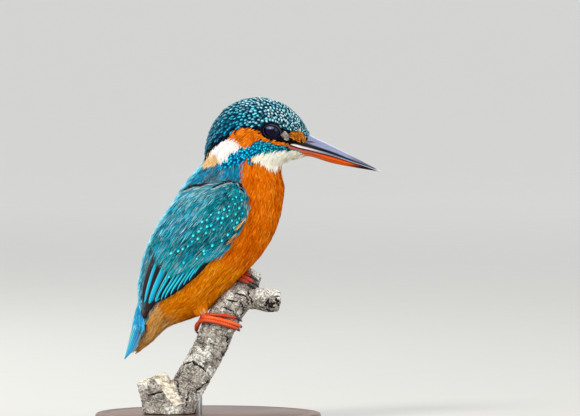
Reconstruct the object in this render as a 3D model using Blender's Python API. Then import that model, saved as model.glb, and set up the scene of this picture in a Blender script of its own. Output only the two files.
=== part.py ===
"""A female common kingfisher at life size, perched on a cut branch that a plain display stand holds up.

Metres, +Z up. The bird faces +X and its mid plane is Y = 0, so its right side faces -Y.
The origin is the centre of the stand's foot. Sizes below are in millimetres until MM scales them.
"""

import math

import bmesh
import bpy
import numpy as np
from mathutils import Matrix, Vector

MM = 0.001
GAP = 0.3  # clearance between solids that touch on the real bird
CUT_MARGIN = 0.42  # a cutter stands this proud, which leaves at least GAP at its corners

BASE_RADIUS = 52.0
BASE_THICKNESS = 7.0
BASE_BEVEL = 1.4
ROD_RADIUS = 2.2
ROD_SOCKET = 4.0  # how deep the rod sits in the base
ROD_OFFSET = 3.0  # how far in front of the limb's own line the rod stands
ROD_RISE = 1.0  # how far above the limb's own line the rod ends

# The body is one loft from the tip of the under-tail coverts to the bill. A station gives the
# back's (x, z), the belly's (x, z), half the width, and how far down the section is widest (0 to 1).
BODY_STATIONS = {
    "undertail_tip": ((-33.6, 38.6), (-31.0, 35.6), 1.6, 0.5),
    "undertail": ((-31.3, 47.4), (-25.5, 39.8), 6.0, 0.5),
    "vent": ((-31.7, 56.6), (-18.4, 46.4), 10.5, 0.5),
    "rump": ((-32.2, 64.9), (-10.6, 49.3), 14.0, 0.5),
    "lower_belly": ((-30.8, 73.6), (-2.3, 52.4), 16.8, 0.5),
    "belly": ((-28.1, 83.3), (8.3, 62.6), 18.4, 0.5),
    "middle": ((-23.5, 92.9), (17.9, 72.2), 19.0, 0.5),
    "breast": ((-17.9, 101.2), (25.3, 80.5), 18.8, 0.5),
    "upper_breast": ((-12.9, 109.0), (31.3, 91.5), 17.6, 0.5),
    "shoulder": ((-8.3, 115.5), (34.5, 103.5), 16.1, 0.5),
    "neck_base": ((-4.1, 120.1), (35.0, 111.3), 14.9, 0.5),
    "neck_top": ((-1.8, 123.3), (33.8, 117.0), 14.3, 0.5),
    "nape": ((-1.6, 127.9), (34.0, 119.6), 14.3, 0.5),
    "hind_crown": ((0.5, 136.6), (35.0, 121.4), 14.5, 0.53),
    "crown": ((7.4, 146.7), (36.8, 122.6), 14.4, 0.55),
    "mid_crown": ((17.9, 151.8), (38.6, 123.3), 13.4, 0.57),
    "fore_crown": ((28.5, 151.6), (40.5, 123.7), 11.7, 0.59),
    "brow": ((37.3, 147.7), (42.3, 124.2), 9.3, 0.6),
    "forehead": ((43.7, 141.2), (44.2, 124.7), 6.7, 0.6),
    "bill_base": ((47.4, 134.6), (45.5, 125.1), 4.7, 0.6),
}
STATION_NAMES = list(BODY_STATIONS)
BODY_LENGTH = 150.0  # near enough, to turn a gap into a share of the body's length
BODY_POINTS_ROUND = 22
BODY_ROUNDNESS = 0.92  # exponent on the half width: under 1 is fuller than an ellipse

# Right wing: the edge along the back and the edge along the flank, as (x, z), their distances out
# from the mid plane, and how much further out the feathers stand between them.
WING_STATIONS = (
    ((10.1, 113.8), (15.8, 112.2), 14.6, 15.2, 0.6),
    ((1.8, 112.0), (17.9, 106.3), 14.4, 17.2, 2.4),
    ((-6.9, 108.8), (17.5, 98.4), 13.6, 18.8, 3.9),
    ((-13.8, 102.8), (14.3, 91.5), 13.2, 19.6, 4.8),
    ((-19.3, 95.6), (9.2, 84.2), 12.6, 19.5, 5.3),
    ((-23.9, 87.8), (2.3, 77.7), 12.0, 18.9, 5.2),
    ((-27.1, 80.5), (-5.1, 70.4), 11.0, 17.6, 4.6),
    ((-29.2, 72.7), (-12.4, 63.0), 9.8, 15.6, 3.5),
    ((-30.4, 65.3), (-19.3, 58.4), 8.6, 12.8, 2.2),
    ((-30.8, 58.4), (-25.3, 55.0), 7.4, 9.8, 1.0),
    ((-30.4, 52.9), (-28.5, 52.2), 6.4, 7.2, 0.3),
)
WING_LENGTH = 90.0  # near enough, to turn a gap into a share of the wing's length
WING_THICKNESS = 4.4  # at the shoulder, before the trunk is cut from its inside
QUILL_THICKNESS = 1.9  # of the stacked flight feathers at the wing tip
WING_PROUD = (1.8, 1.9)  # least height of the wing above the flank, at the shoulder and at the tip
WING_SPLIT = 0.62  # share of the wing's length that the coverts and scapulars cover
COVERT_STEP = 0.5  # how far the coverts stand above the flight feathers at their edge

TAIL_ROOT = (-30.9, 61.0)
TAIL_TIP = (-38.8, 31.1)
TAIL_SHARES = (0.0, 0.3, 0.5, 0.75, 0.9, 1.0)  # places along the tail for the two rows below
TAIL_HALF_WIDTHS = (4.4, 5.6, 7.8, 7.4, 6.0, 2.6)
TAIL_ARCHES = (2.0, 3.4, 5.8, 4.2, 2.6, 0.6)  # how far the outer feathers hang below the middle pair
TAIL_THICKNESS = 1.7
TAIL_STEPS = 10

# Bill: culmen, cutting edge and gonys, each as (x, z), and half the width at the cutting edge.
BILL_STATIONS = (
    ((38.2, 137.6), (36.4, 130.9), (37.6, 126.2), 9.3),
    ((43.0, 137.2), (41.0, 129.2), (42.6, 125.4), 6.9),
    ((48.2, 134.0), (48.2, 127.5), (47.6, 124.9), 4.7),
    ((56.0, 130.2), (56.4, 125.5), (55.6, 122.4), 3.7),
    ((65.6, 125.3), (66.4, 122.3), (65.8, 120.3), 2.4),
    ((74.4, 120.7), (74.8, 119.6), (74.6, 118.8), 1.0),
    ((79.8, 118.0), (79.6, 117.8), (78.2, 118.2), 0.3),
)
BILL_POINTS_ROUND = 10

EYE_CENTRE = (29.5, 136.9)  # (x, z)
EYE_RADIUS = 4.0
EYE_OUT = 10.1  # eyeball centre from the mid plane
SOCKET_RADII = (4.3, 2.2, 3.5)
SOCKET_SLANT = 18.0  # degrees that the socket tips down at the front
SOCKET_OUT = 14.0  # centre of the dished socket from the mid plane

# The limb's own line, lower end first: x, y, z and radius. It is sawn off level above the base.
LIMB_POINTS = (
    (-16.5, -12.6, 2.0, 8.6),
    (-12.6, -11.6, 11.5, 8.2),
    (-8.9, -10.6, 20.0, 8.0),
    (-4.0, -9.2, 28.2, 7.8),
    (1.2, -7.4, 37.6, 7.9),
    (4.4, -5.9, 45.4, 8.0),
    (8.4, -3.8, 52.8, 7.6),
    (13.4, -1.4, 59.2, 7.2),
    (17.4, 0.8, 64.8, 5.9),
    (19.9, 2.2, 68.8, 4.8),
    (21.4, 3.2, 71.6, 4.2),
)
LIMB_LENGTH = 84.0  # near enough, to turn millimetres into a share of the limb's length
LIMB_DEPTH = 0.84  # the limb is not quite round: thinner from the bird's right to its left
SAWN_HEIGHT = BASE_THICKNESS + GAP
SIDE_STUB = (
    (13.2, -1.0, 59.2, 5.4),
    (22.0, -2.4, 59.6, 5.1),
    (29.0, -3.2, 58.6, 5.5),
    (33.0, -3.5, 58.2, 4.7),
)
BROKEN_STUB = ((-20.0, -11.0, 3.0, 10.4), (-22.4, -10.6, 14.0, 8.7), (-26.2, -10.0, 24.2, 7.3))
LIMB_POINTS_ROUND = 14
LIMB_RINGS = 20
ROD_SHARE = 0.27  # where the rod meets the limb, as a share of the limb's length

# A foot grips the limb at a share of its length. Degrees run round the limb from its upper side
# (0) over the bird's right side (90). Each toe: its start and end in degrees, its shift along the
# limb at each of them, and its radius.
FEET = {
    "right": (0.622, {
        "hind": (0.0, -32.0, -1.0, -6.4, 1.05),
        "inner": (16.0, 104.0, 1.3, 6.2, 0.85),
        "middle": (8.0, 139.0, -0.5, 4.2, 0.98),
        "outer": (4.0, 131.0, -2.2, 2.2, 0.95),
    }),
    "left": (0.918, {
        "hind": (-44.0, -118.0, -0.8, -2.6, 1.0),
        "inner": (-20.0, 66.0, 1.9, 2.8, 0.85),
        "middle": (-30.0, 84.0, 0.2, 0.8, 0.98),
        "outer": (-34.0, 72.0, -1.5, -1.0, 0.95),
    }),
}
PAD_TURN = {"right": 6.0, "left": -38.0}
PAD_LIFT, PAD_SHIFT = 1.3, -0.6  # where the tarsus meets the toes: off the limb and along it
HOLLOW_RADIUS = 4.4  # of the room left in the belly for the left foot
CLAW_TURN = {"right": 42.0, "left": 44.0}  # degrees that a claw adds beyond its toe
TARSUS_RADIUS = 1.35
TARSUS_LENGTH = 9.0
TARSUS_TILT = {"right": (-0.10, 0.12, 1.0), "left": (-0.25, -0.1, 1.0)}  # the way each tarsus runs up


def material(name, colour, roughness, metallic=0.0):
    made = bpy.data.materials.new(name)
    made.use_nodes = True
    shader = made.node_tree.nodes["Principled BSDF"]
    shader.inputs["Base Color"].default_value = (*colour, 1.0)
    shader.inputs["Roughness"].default_value = roughness
    shader.inputs["Metallic"].default_value = metallic
    return made


def mesh_object(name, rings, finish):
    """A closed solid through rings of points in millimetres, with its two ends capped."""
    mesh = bpy.data.meshes.new(name)
    bm = bmesh.new()
    loops = [[bm.verts.new(Vector(p) * MM) for p in ring] for ring in rings]
    for near, far in zip(loops, loops[1:]):
        for i in range(len(near)):
            j = (i + 1) % len(near)
            bm.faces.new((near[i], near[j], far[j], far[i]))
    bm.faces.new(loops[0])
    bm.faces.new(loops[-1])
    bmesh.ops.recalc_face_normals(bm, faces=bm.faces)
    bmesh.ops.triangulate(bm, faces=[f for f in bm.faces if len(f.verts) > 4])
    bm.to_mesh(mesh)
    bm.free()
    mesh.shade_smooth()
    mesh.set_sharp_from_angle(angle=math.radians(40))
    made = bpy.data.objects.new(name, mesh)
    bpy.context.scene.collection.objects.link(made)
    mesh.materials.append(finish)
    return made


def spline(rows, at):
    """Rows of numbers read at places from 0 to 1 along a smooth curve through them all."""
    rows = np.array(rows, float)
    steps = np.linalg.norm(np.diff(rows[:, :3], axis=0), axis=1)
    knots = np.concatenate([[0.0], np.cumsum(np.maximum(steps, 1e-6))])
    knots /= knots[-1]
    slopes = np.gradient(rows, knots, axis=0)
    at = np.atleast_1d(at)
    i = np.clip(np.searchsorted(knots, at, side="right") - 1, 0, len(rows) - 2)
    span = (knots[i + 1] - knots[i])[:, None]
    t = ((at - knots[i]) / span[:, 0])[:, None]
    return (
        (2 * t**3 - 3 * t**2 + 1) * rows[i]
        + (t**3 - 2 * t**2 + t) * span * slopes[i]
        + (3 * t**2 - 2 * t**3) * rows[i + 1]
        + (t**3 - t**2) * span * slopes[i + 1]
    )


def knot_of(name):
    """A body station's place, from 0 to 1, along the body."""
    rows = np.array([[*back, *belly] for back, belly, _, _ in BODY_STATIONS.values()])
    middles = (rows[:, :2] + rows[:, 2:]) / 2
    travelled = np.concatenate([[0.0], np.cumsum(np.linalg.norm(np.diff(middles, axis=0), axis=1))])
    return travelled[STATION_NAMES.index(name)] / travelled[-1]


def body_rings(start, end, count, points_round=None):
    """Cross-sections of the body between two places along it."""
    points_round = points_round or BODY_POINTS_ROUND
    rows = [
        ((bx + fx) / 2, 0.0, (bz + fz) / 2, bx, bz, fx, fz, width, widest)
        for (bx, bz), (fx, fz), width, widest in BODY_STATIONS.values()
    ]
    rings = []
    for row in spline(rows, np.linspace(start, end, count)):
        bx, bz, fx, fz, width, widest = row[3:]
        power = math.log(widest) / math.log(0.5)
        ring = []
        for k in range(points_round):
            turn = 2 * math.pi * k / points_round
            down = ((1 - math.cos(turn)) / 2) ** power
            side = math.copysign(abs(math.sin(turn)) ** BODY_ROUNDNESS, math.sin(turn))
            ring.append((bx + (fx - bx) * down, width * side, bz + (fz - bz) * down))
        rings.append(ring)
    return rings


def body_part(name, start, end, count, finish):
    return mesh_object(name, body_rings(start, end, count), finish)


def body_half_width(points):
    """Half the body's width at each (x, z), from the nearest of many points across its sections."""
    grid = np.array(body_rings(0.0, 1.0, 240, 72))[:, :37].reshape(-1, 3)
    found = []
    for x, z in points:
        away = (grid[:, 0] - x) ** 2 + (grid[:, 2] - z) ** 2
        near = np.argsort(away)[:4]
        weight = 1 / (away[near] + 0.05)
        found.append(float((grid[near, 1] * weight).sum() / weight.sum()))
    return np.array(found)


def cutter(source, name, margin=CUT_MARGIN):
    """A helper a little larger all round than the object it copies, left out of the model."""
    mesh = source.data.copy()
    bm = bmesh.new()
    bm.from_mesh(mesh)
    bm.normal_update()
    for vertex in bm.verts:
        vertex.co += vertex.normal * margin * MM * vertex.calc_shell_factor()
    bm.to_mesh(mesh)
    bm.free()
    return helper(bpy.data.objects.new(name, mesh))


def helper(made):
    if made.name not in bpy.context.scene.collection.objects:
        bpy.context.scene.collection.objects.link(made)
    made.hide_render = True
    made.display_type = "WIRE"
    return made


def boolean(target, other, operation):
    modifier = target.modifiers.new(f"{operation} {other.name}", "BOOLEAN")
    modifier.object = other
    modifier.operation = operation
    modifier.solver = "EXACT"


def wing_rings(side, start, end, count, step=0.0):
    """Sections of a folded wing, from shoulder to tip: out along the back edge, in along the inside."""
    rows = [(*upper, *lower, near, far, swell) for upper, lower, near, far, swell in WING_STATIONS]
    rings = []
    for s, row in zip(np.linspace(start, end, count), spline(rows, np.linspace(start, end, count))):
        ux, uz, lx, lz, near, far, swell = row
        thick = WING_THICKNESS + (QUILL_THICKNESS - WING_THICKNESS) * min(1.0, s / WING_SPLIT)
        outer, inner = [], []
        across = np.linspace(0, 1, 7)
        places = [(ux + (lx - ux) * t, uz + (lz - uz) * t) for t in across]
        proud = WING_PROUD[0] + (WING_PROUD[1] - WING_PROUD[0]) * s
        for t, (x, z), flank in zip(across, places, body_half_width(places)):
            out = near + (far - near) * t + swell * 4 * t * (1 - t)
            out = max(out, flank + proud) - step
            outer.append((x, side * out, z))
            inner.append((x, side * (out - thick), z))
        rings.append(outer + inner[::-1])
    return rings


def wings(bodies, finish, quill_finish):
    """Each folded wing is two solids: coverts with scapulars, and the flight feathers past them."""
    for label, side in (("right", -1), ("left", 1)):
        split_gap = GAP / 2 / WING_LENGTH
        coverts = mesh_object(
            f"wing_{label}", wing_rings(side, 0.0, WING_SPLIT - split_gap, 13), finish
        )
        quills = mesh_object(
            f"flight_feathers_{label}",
            wing_rings(side, WING_SPLIT + split_gap, 1.0, 9, COVERT_STEP),
            quill_finish,
        )
        for piece in (coverts, quills):
            for body in bodies:
                boolean(piece, body, "DIFFERENCE")


def tail(bodies, finish):
    """Closed tail feathers as an arched sheet: the middle pair lie highest, the outer ones hang lower."""
    root, tip = np.array(TAIL_ROOT), np.array(TAIL_TIP)
    along = (tip - root) / np.linalg.norm(tip - root)
    below = np.array((-along[1], along[0]))
    rings = []
    for s in np.linspace(0, 1, TAIL_STEPS):
        half, arch = (np.interp(s, TAIL_SHARES, row) for row in (TAIL_HALF_WIDTHS, TAIL_ARCHES))
        centre = root + (tip - root) * s
        upper, lower = [], []
        for t in np.linspace(-1, 1, 11):
            drop = arch * abs(t) ** 1.6
            for side_of, depth in ((upper, 0.0), (lower, TAIL_THICKNESS * (1 - 0.45 * s))):
                x, z = centre + below * (drop + depth)
                side_of.append((x, half * t, z))
        rings.append(upper + lower[::-1])
    made = mesh_object("tail", rings, finish)
    for body in bodies:
        boolean(made, body, "DIFFERENCE")


def bill_rings(top, bottom, rise_up, shares, grow=0.0):
    """D-shaped sections of one mandible: flat along the cutting edge, domed on the other side."""
    rows = [(*s[top], *s[bottom], s[3]) for s in BILL_STATIONS]
    rings = []
    for tx, tz, bx, bz, width in spline(rows, shares):
        low, high = np.array((bx, bz - grow)), np.array((tx, tz + grow))
        base, crest = (low, high) if rise_up else (high, low)
        ring = []
        for k in range(BILL_POINTS_ROUND):
            turn = math.pi * k / (BILL_POINTS_ROUND - 1)
            x, z = base + (crest - base) * max(0.0, math.sin(turn)) ** 1.15
            edge = GAP / 2 if rise_up else -GAP / 2
            ring.append((x, (width + grow) * math.cos(turn), z + edge))
        rings.append(ring)
    return rings


def bill(head, upper_finish, lower_finish):
    """Two mandibles that meet along the cutting edge, with the head cut back round their roots."""
    for name, top, bottom, finish in (
        ("bill_upper", 0, 1, upper_finish),
        ("bill_lower", 1, 2, lower_finish),
    ):
        rise_up = name == "bill_upper"
        mesh_object(name, bill_rings(top, bottom, rise_up, np.linspace(0, 1, 14)), finish)
        root = bill_rings(top, bottom, rise_up, np.linspace(-0.02, 0.5, 8), CUT_MARGIN)
        boolean(head, helper(mesh_object(f"{name}_cutter", root, finish)), "DIFFERENCE")


def eyes(head, finish):
    for label, side in (("right", -1), ("left", 1)):
        centre = Vector((EYE_CENTRE[0], side * EYE_OUT, EYE_CENTRE[1])) * MM
        for name, grown in ((f"eye_{label}", 0.0), (f"eye_{label}_cutter", CUT_MARGIN)):
            bm = bmesh.new()
            bmesh.ops.create_uvsphere(
                bm, u_segments=16, v_segments=9, radius=(EYE_RADIUS + grown) * MM,
                matrix=Matrix.Translation(centre) @ Matrix.Rotation(math.pi / 2, 4, "X"),
            )
            mesh = bpy.data.meshes.new(name)
            bm.to_mesh(mesh)
            bm.free()
            made = bpy.data.objects.new(name, mesh)
            if grown:
                boolean(head, helper(made), "DIFFERENCE")
            else:
                bpy.context.scene.collection.objects.link(made)
                mesh.materials.append(finish)
                mesh.shade_smooth()
        dish = bmesh.new()
        shape = Matrix.Translation(Vector((EYE_CENTRE[0], side * SOCKET_OUT, EYE_CENTRE[1])) * MM)
        shape = shape @ Matrix.Rotation(math.radians(SOCKET_SLANT), 4, "Y")
        bmesh.ops.create_uvsphere(
            dish, u_segments=14, v_segments=7, radius=MM,
            matrix=shape @ Matrix.Diagonal((*SOCKET_RADII, 1.0)),
        )
        mesh = bpy.data.meshes.new(f"socket_{label}")
        dish.to_mesh(mesh)
        dish.free()
        boolean(head, helper(bpy.data.objects.new(f"socket_{label}", mesh)), "DIFFERENCE")


def tube_rings(line, points_round, depth=1.0, roughness=0.0, seed=0):
    """Sections along rows of x, y, z and radius; depth flattens them from side to side."""
    rng = np.random.default_rng(seed)
    line = np.array(line, float)
    rings = []
    for i, (x, y, z, radius) in enumerate(line):
        ahead = Vector(line[min(i + 1, len(line) - 1), :3] - line[max(i - 1, 0), :3]).normalized()
        across = ahead.cross(Vector((0, 0, 1))).normalized()
        up = across.cross(ahead)
        lumps = 1 + roughness * rng.uniform(-1, 1, points_round)
        rings.append([
            Vector((x, y, z))
            + (across * math.cos(turn) * depth + up * math.sin(turn)) * radius * lump
            for turn, lump in zip(np.linspace(0, 2 * math.pi, points_round, endpoint=False), lumps)
        ])
    return rings


def limb_at(share):
    """Centre, direction and radius of the limb at a share of its length."""
    here, there = spline(LIMB_POINTS, [share, min(1.0, share + 0.02)])
    return Vector(here[:3]), Vector((there - here)[:3]).normalized(), here[3]


def perch(drill, finish):
    """The cut limb with its fork and its broken stub, drilled from below for the stand's rod."""
    line = spline(LIMB_POINTS, np.linspace(0, 1, LIMB_RINGS))
    rings = tube_rings(line, LIMB_POINTS_ROUND, LIMB_DEPTH, 0.012, seed=3)
    limb = mesh_object("perch", rings, finish)
    for name, points, seed in (("side_stub", SIDE_STUB, 5), ("broken_stub", BROKEN_STUB, 8)):
        rings = tube_rings(spline(points, np.linspace(0, 1, 7)), 12, 0.92, 0.04, seed)
        boolean(limb, helper(mesh_object(name, rings, finish)), "UNION")
    saw = turned("saw", ((60, -9), (60, SAWN_HEIGHT)), (0, 0), 4, finish)
    boolean(limb, helper(saw), "DIFFERENCE")
    boolean(limb, drill, "DIFFERENCE")
    return limb, cutter(bpy.data.objects["side_stub"], "fork_cutter")


def foot(label, trunk, fork, skin, horn):
    """Tarsus and four toes that wrap the limb; each toe ends in a claw of its own."""
    share, toes = FEET[label]
    _, along, _ = limb_at(share)
    across = along.cross(Vector((0, 0, 1))).normalized()
    up = across.cross(along)

    def on_limb(degrees, lift, shift):
        turn = math.radians(degrees)
        at, _, girth = limb_at(share + shift / LIMB_LENGTH)
        return (
            at + up * math.cos(turn) * (girth + lift)
            + across * math.sin(turn) * (girth * LIMB_DEPTH + lift)
        )

    pad = on_limb(PAD_TURN[label], GAP + PAD_LIFT, PAD_SHIFT)
    top = pad + Vector(TARSUS_TILT[label]).normalized() * TARSUS_LENGTH
    rows = [(*top.lerp(pad, t), TARSUS_RADIUS + 0.3 * t) for t in np.linspace(0, 1, 4)]
    leg = mesh_object(f"leg_{label}", tube_rings(rows, 8), skin)
    for toe, (start, end, low, high, thick) in toes.items():
        rows = []
        for t in np.linspace(-0.06, 1, 9):
            swell = thick * (1 + 0.08 * math.cos(t * 3 * math.pi))
            place = on_limb(start + (end - start) * t, GAP + 0.15 + swell, low + (high - low) * t)
            rows.append((*place, swell))
        made = mesh_object(f"{toe}_{label}", tube_rings(rows, 7), skin)
        boolean(leg, helper(made), "UNION")
        sign = math.copysign(CLAW_TURN[label], end - start)
        claw_rows = []
        for t in np.linspace(0, 1, 6):
            lift = GAP + 0.3 + 0.8 * math.sin(math.pi * (0.3 + 0.7 * t))
            place = on_limb(end + sign * t, lift, high + (high - low) * 0.12 * t)
            claw_rows.append((*place, 0.7 * (1 - t) ** 0.6 + 0.16))
        claw = mesh_object(f"claw_{toe}_{label}", tube_rings(claw_rows, 6), horn)
        grown = cutter(made, f"{toe}_{label}_cutter")
        boolean(claw, grown, "DIFFERENCE")
        if label == "left":  # this foot stands up in the fork, tucked into the belly
            boolean(claw, fork, "DIFFERENCE")
    if label == "left":
        boolean(leg, fork, "DIFFERENCE")
        rows = [(*on_limb(turn, 1.2, 0.2), HOLLOW_RADIUS) for turn in np.linspace(-120, 100, 9)]
        boolean(trunk, helper(mesh_object("foot_hollow", tube_rings(rows, 10), skin)), "DIFFERENCE")
    boolean(trunk, cutter(leg, f"leg_{label}_cutter"), "DIFFERENCE")


def stand(finish, rod_finish):
    """A turned wooden foot with one metal rod that goes up into the limb."""
    centre, _, _ = limb_at(ROD_SHARE)
    x, y, top = centre.x + ROD_OFFSET, centre.y, centre.z + ROD_RISE
    base = turned("stand_base", (
        (BASE_RADIUS - 1.0, 0.0), (BASE_RADIUS, 1.0),
        (BASE_RADIUS, BASE_THICKNESS - BASE_BEVEL), (BASE_RADIUS - BASE_BEVEL, BASE_THICKNESS),
    ), (0, 0), 56, finish)
    low = BASE_THICKNESS - ROD_SOCKET
    turned("stand_rod", ((ROD_RADIUS, low), (ROD_RADIUS, top)), (x, y), 16, rod_finish)
    wide = ROD_RADIUS + CUT_MARGIN
    drill = turned("rod_cutter", ((wide, low - GAP), (wide, top + GAP)), (x, y), 16, rod_finish)
    boolean(base, helper(drill), "DIFFERENCE")
    return drill


def turned(name, profile, axis, steps, finish):
    """A solid of revolution about an upright axis; its profile runs from bottom to top as (radius, z)."""
    rings = [
        [
            (axis[0] + r * math.cos(a), axis[1] + r * math.sin(a), z)
            for a in np.linspace(0, 2 * math.pi, steps, endpoint=False)
        ]
        for r, z in profile
    ]
    return mesh_object(name, rings, finish)


def main():
    for old in list(bpy.data.objects):
        bpy.data.objects.remove(old)
    orange = material("orange_plumage", (0.62, 0.22, 0.03), 0.8)
    blue = material("blue_plumage", (0.02, 0.27, 0.33), 0.55)
    azure = material("azure_plumage", (0.03, 0.45, 0.62), 0.5)
    horn = material("black_horn", (0.03, 0.03, 0.04), 0.35)
    lower_horn = material("red_horn", (0.65, 0.13, 0.03), 0.35)
    eye_finish = material("eye", (0.01, 0.008, 0.008), 0.05)
    skin = material("foot_skin", (0.72, 0.09, 0.02), 0.45)
    bark = material("bark", (0.38, 0.35, 0.32), 0.9)
    wood = material("stand_wood", (0.23, 0.13, 0.07), 0.4)
    metal = material("stand_metal", (0.35, 0.35, 0.36), 0.3, 1.0)

    half = GAP / 2 / BODY_LENGTH
    cuts = [knot_of(n) for n in ("vent", "neck_base", "nape")]
    undertail = body_part("undertail", 0.0, cuts[0] - half, 6, orange)
    trunk = body_part("trunk", cuts[0] + half, cuts[1] - half, 20, orange)
    neck = body_part("neck", cuts[1] + half, cuts[2] - half, 4, orange)
    head = body_part("head", cuts[2] + half, 1.0, 16, blue)

    trunk_cutter, neck_cutter, undertail_cutter = (
        cutter(body, f"{body.name}_cutter") for body in (trunk, neck, undertail)
    )
    wings((trunk_cutter, neck_cutter, undertail_cutter), blue, azure)
    tail((trunk_cutter, undertail_cutter), azure)
    bill(head, horn, lower_horn)
    eyes(head, eye_finish)

    limb, fork = perch(stand(wood, metal), bark)
    boolean(trunk, cutter(limb, "perch_cutter"), "DIFFERENCE")
    for label in ("right", "left"):
        foot(label, trunk, fork, skin, horn)


main()
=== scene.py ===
import math

import bmesh
import bpy
import numpy as np
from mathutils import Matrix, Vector, noise


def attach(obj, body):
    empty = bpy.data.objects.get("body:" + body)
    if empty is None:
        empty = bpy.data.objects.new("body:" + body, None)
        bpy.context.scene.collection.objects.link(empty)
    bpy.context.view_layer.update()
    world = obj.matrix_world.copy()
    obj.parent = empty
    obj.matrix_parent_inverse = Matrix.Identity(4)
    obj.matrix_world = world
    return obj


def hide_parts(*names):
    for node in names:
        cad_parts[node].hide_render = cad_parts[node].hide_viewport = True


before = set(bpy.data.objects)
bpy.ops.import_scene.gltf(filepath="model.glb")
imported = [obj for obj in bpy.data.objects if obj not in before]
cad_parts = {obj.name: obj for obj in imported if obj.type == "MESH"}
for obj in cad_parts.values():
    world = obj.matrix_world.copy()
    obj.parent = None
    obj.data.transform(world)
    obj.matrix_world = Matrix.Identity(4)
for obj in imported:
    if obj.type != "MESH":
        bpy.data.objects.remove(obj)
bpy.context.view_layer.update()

# A female common kingfisher at life size, perched on a cut limb that a plain stand holds up. The
# bird faces +X and its mid plane is Y = 0. Sizes are in millimetres until MM scales them.

# --- Stand base -----------------------------------------------------------------------------------
# A turned disc of dark oiled wood, flat below so that it stands steady. Its upper edge is rounded
# over with a bevel and a shallow groove runs round the top; the rod's lower end is sunk in the wood.

MM = 0.001
BASE_RADIUS = 52.0
BASE_THICKNESS = 7.0


class Reading:
    """A value inside a material. Sums written with it become the nodes that work them out."""

    def __init__(self, finish, socket):
        self.finish, self.socket = finish, socket

    def _sum(self, operation, *values):
        return self.finish.node("ShaderNodeMath", {"operation": operation}, values)

    def __add__(self, other):
        return self._sum("ADD", self, other)

    def __sub__(self, other):
        return self._sum("SUBTRACT", self, other)

    def __rsub__(self, other):
        return self._sum("SUBTRACT", other, self)

    def __mul__(self, other):
        return self._sum("MULTIPLY", self, other)

    __radd__, __rmul__ = __add__, __mul__

    def sine(self):
        return self._sum("SINE", self)

    def size(self):
        return self._sum("ABSOLUTE", self)

    def eased(self, low, high):
        """0 below low, 1 above high and a smooth rise between them."""
        settings = {"interpolation_type": "SMOOTHSTEP"}
        return self.finish.node("ShaderNodeMapRange", settings, {0: self, 1: low, 2: high})


class Finish:
    """A material built on one shader; what is the same all over is given when it is made."""

    def __init__(self, name, **constants):
        self.material = bpy.data.materials.new(name)
        self.material.use_nodes = True
        self.tree = self.material.node_tree
        self.shader = self.tree.nodes["Principled BSDF"]
        for socket, value in constants.items():
            self.shader.inputs[socket.replace("_", " ").title().replace("Ior", "IOR")].default_value = value

    def node(self, kind, settings, values=(), output=0):
        """One node: its type, its settings, and the values or readings of its sockets."""
        made = self.tree.nodes.new(kind)
        for key, value in settings.items():
            setattr(made, key, value)
        for socket, value in values.items() if isinstance(values, dict) else enumerate(values):
            if isinstance(value, Reading):
                self.tree.links.new(value.socket, made.inputs[socket])
            elif isinstance(value, tuple) and len(value) == 3 and made.inputs[socket].type == "RGBA":
                made.inputs[socket].default_value = (*value, 1.0)
            else:
                made.inputs[socket].default_value = value
        return Reading(self, made.outputs[output])

    def place(self):
        return self.node("ShaderNodeTexCoord", {}, (), "Object")

    def stretched(self, scale, turn=(0.0, 0.0, 0.0), where=None):
        return self.node("ShaderNodeMapping", {}, {
            "Vector": where or self.place(), "Scale": scale, "Rotation": turn})

    def noise(self, scale, detail=4.0, roughness=0.55, where=None):
        return self.node("ShaderNodeTexNoise", {}, {
            "Vector": where or self.place(), "Scale": scale, "Detail": detail, "Roughness": roughness})

    def cells(self, scale):
        return self.node("ShaderNodeTexVoronoi", {}, {"Vector": self.place(), "Scale": scale})

    def blend(self, amount, first, second, how="MIX"):
        settings = {"data_type": "RGBA", "blend_type": how}
        return self.node("ShaderNodeMix", settings, {0: amount, 6: first, 7: second}, 2)

    def painted(self, name="paint", output="Color"):
        return self.node("ShaderNodeAttribute", {"attribute_name": name}, (), output)

    def set(self, socket, value):
        self.tree.links.new(value.socket, self.shader.inputs[socket])

    def surface(self, colour, roughness, height, strength, distance):
        """Gives the shader its colour and roughness, and a bump from a height."""
        bump = self.node("ShaderNodeBump", {}, {"Height": height, "Strength": strength, "Distance": distance})
        for socket, value in (("Base Color", colour), ("Roughness", roughness), ("Normal", bump)):
            self.set(socket, value)


def paint(code):
    """A colour written as six hex digits, as the linear light that shaders use."""
    parts = [int(code[i:i + 2], 16) / 255 for i in (0, 2, 4)]
    return tuple(p / 12.92 if p < 0.04045 else ((p + 0.055) / 1.055) ** 2.4 for p in parts)


def clear_selection():
    for other in bpy.context.selected_objects:
        other.select_set(False)


def choose(piece):
    """Selects one piece alone and makes it the active one."""
    clear_selection()
    piece.select_set(True)
    bpy.context.view_layer.objects.active = piece


def added(name):
    """The primitive just added, with its place put into its mesh."""
    piece = bpy.context.object
    piece.name = piece.data.name = name
    choose(piece)
    bpy.ops.object.transform_apply(location=True, rotation=True, scale=True)
    return piece


def choose_edges(piece, wanted):
    """In edit mode, selects just the edges whose middle passes a test."""
    bpy.ops.object.mode_set(mode="EDIT")
    bpy.ops.mesh.select_mode(type="EDGE")
    bpy.ops.mesh.select_all(action="DESELECT")
    bm = bmesh.from_edit_mesh(piece.data)
    for edge in bm.edges:
        middle = (edge.verts[0].co + edge.verts[1].co) / 2
        edge.select_set(bool(wanted(middle, edge)))
    bmesh.update_edit_mesh(piece.data)


def is_level(edge):
    return abs(edge.verts[0].co.z - edge.verts[1].co.z) < 1e-6


def dressed(piece, finish, slot, *nodes):
    """Gives a piece its finish and its place on the bird's one rigid body."""
    piece.data.materials.clear()
    piece.data.materials.append(finish.material)
    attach(piece, "root")
    if nodes:
        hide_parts(*nodes)
    return piece


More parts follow.
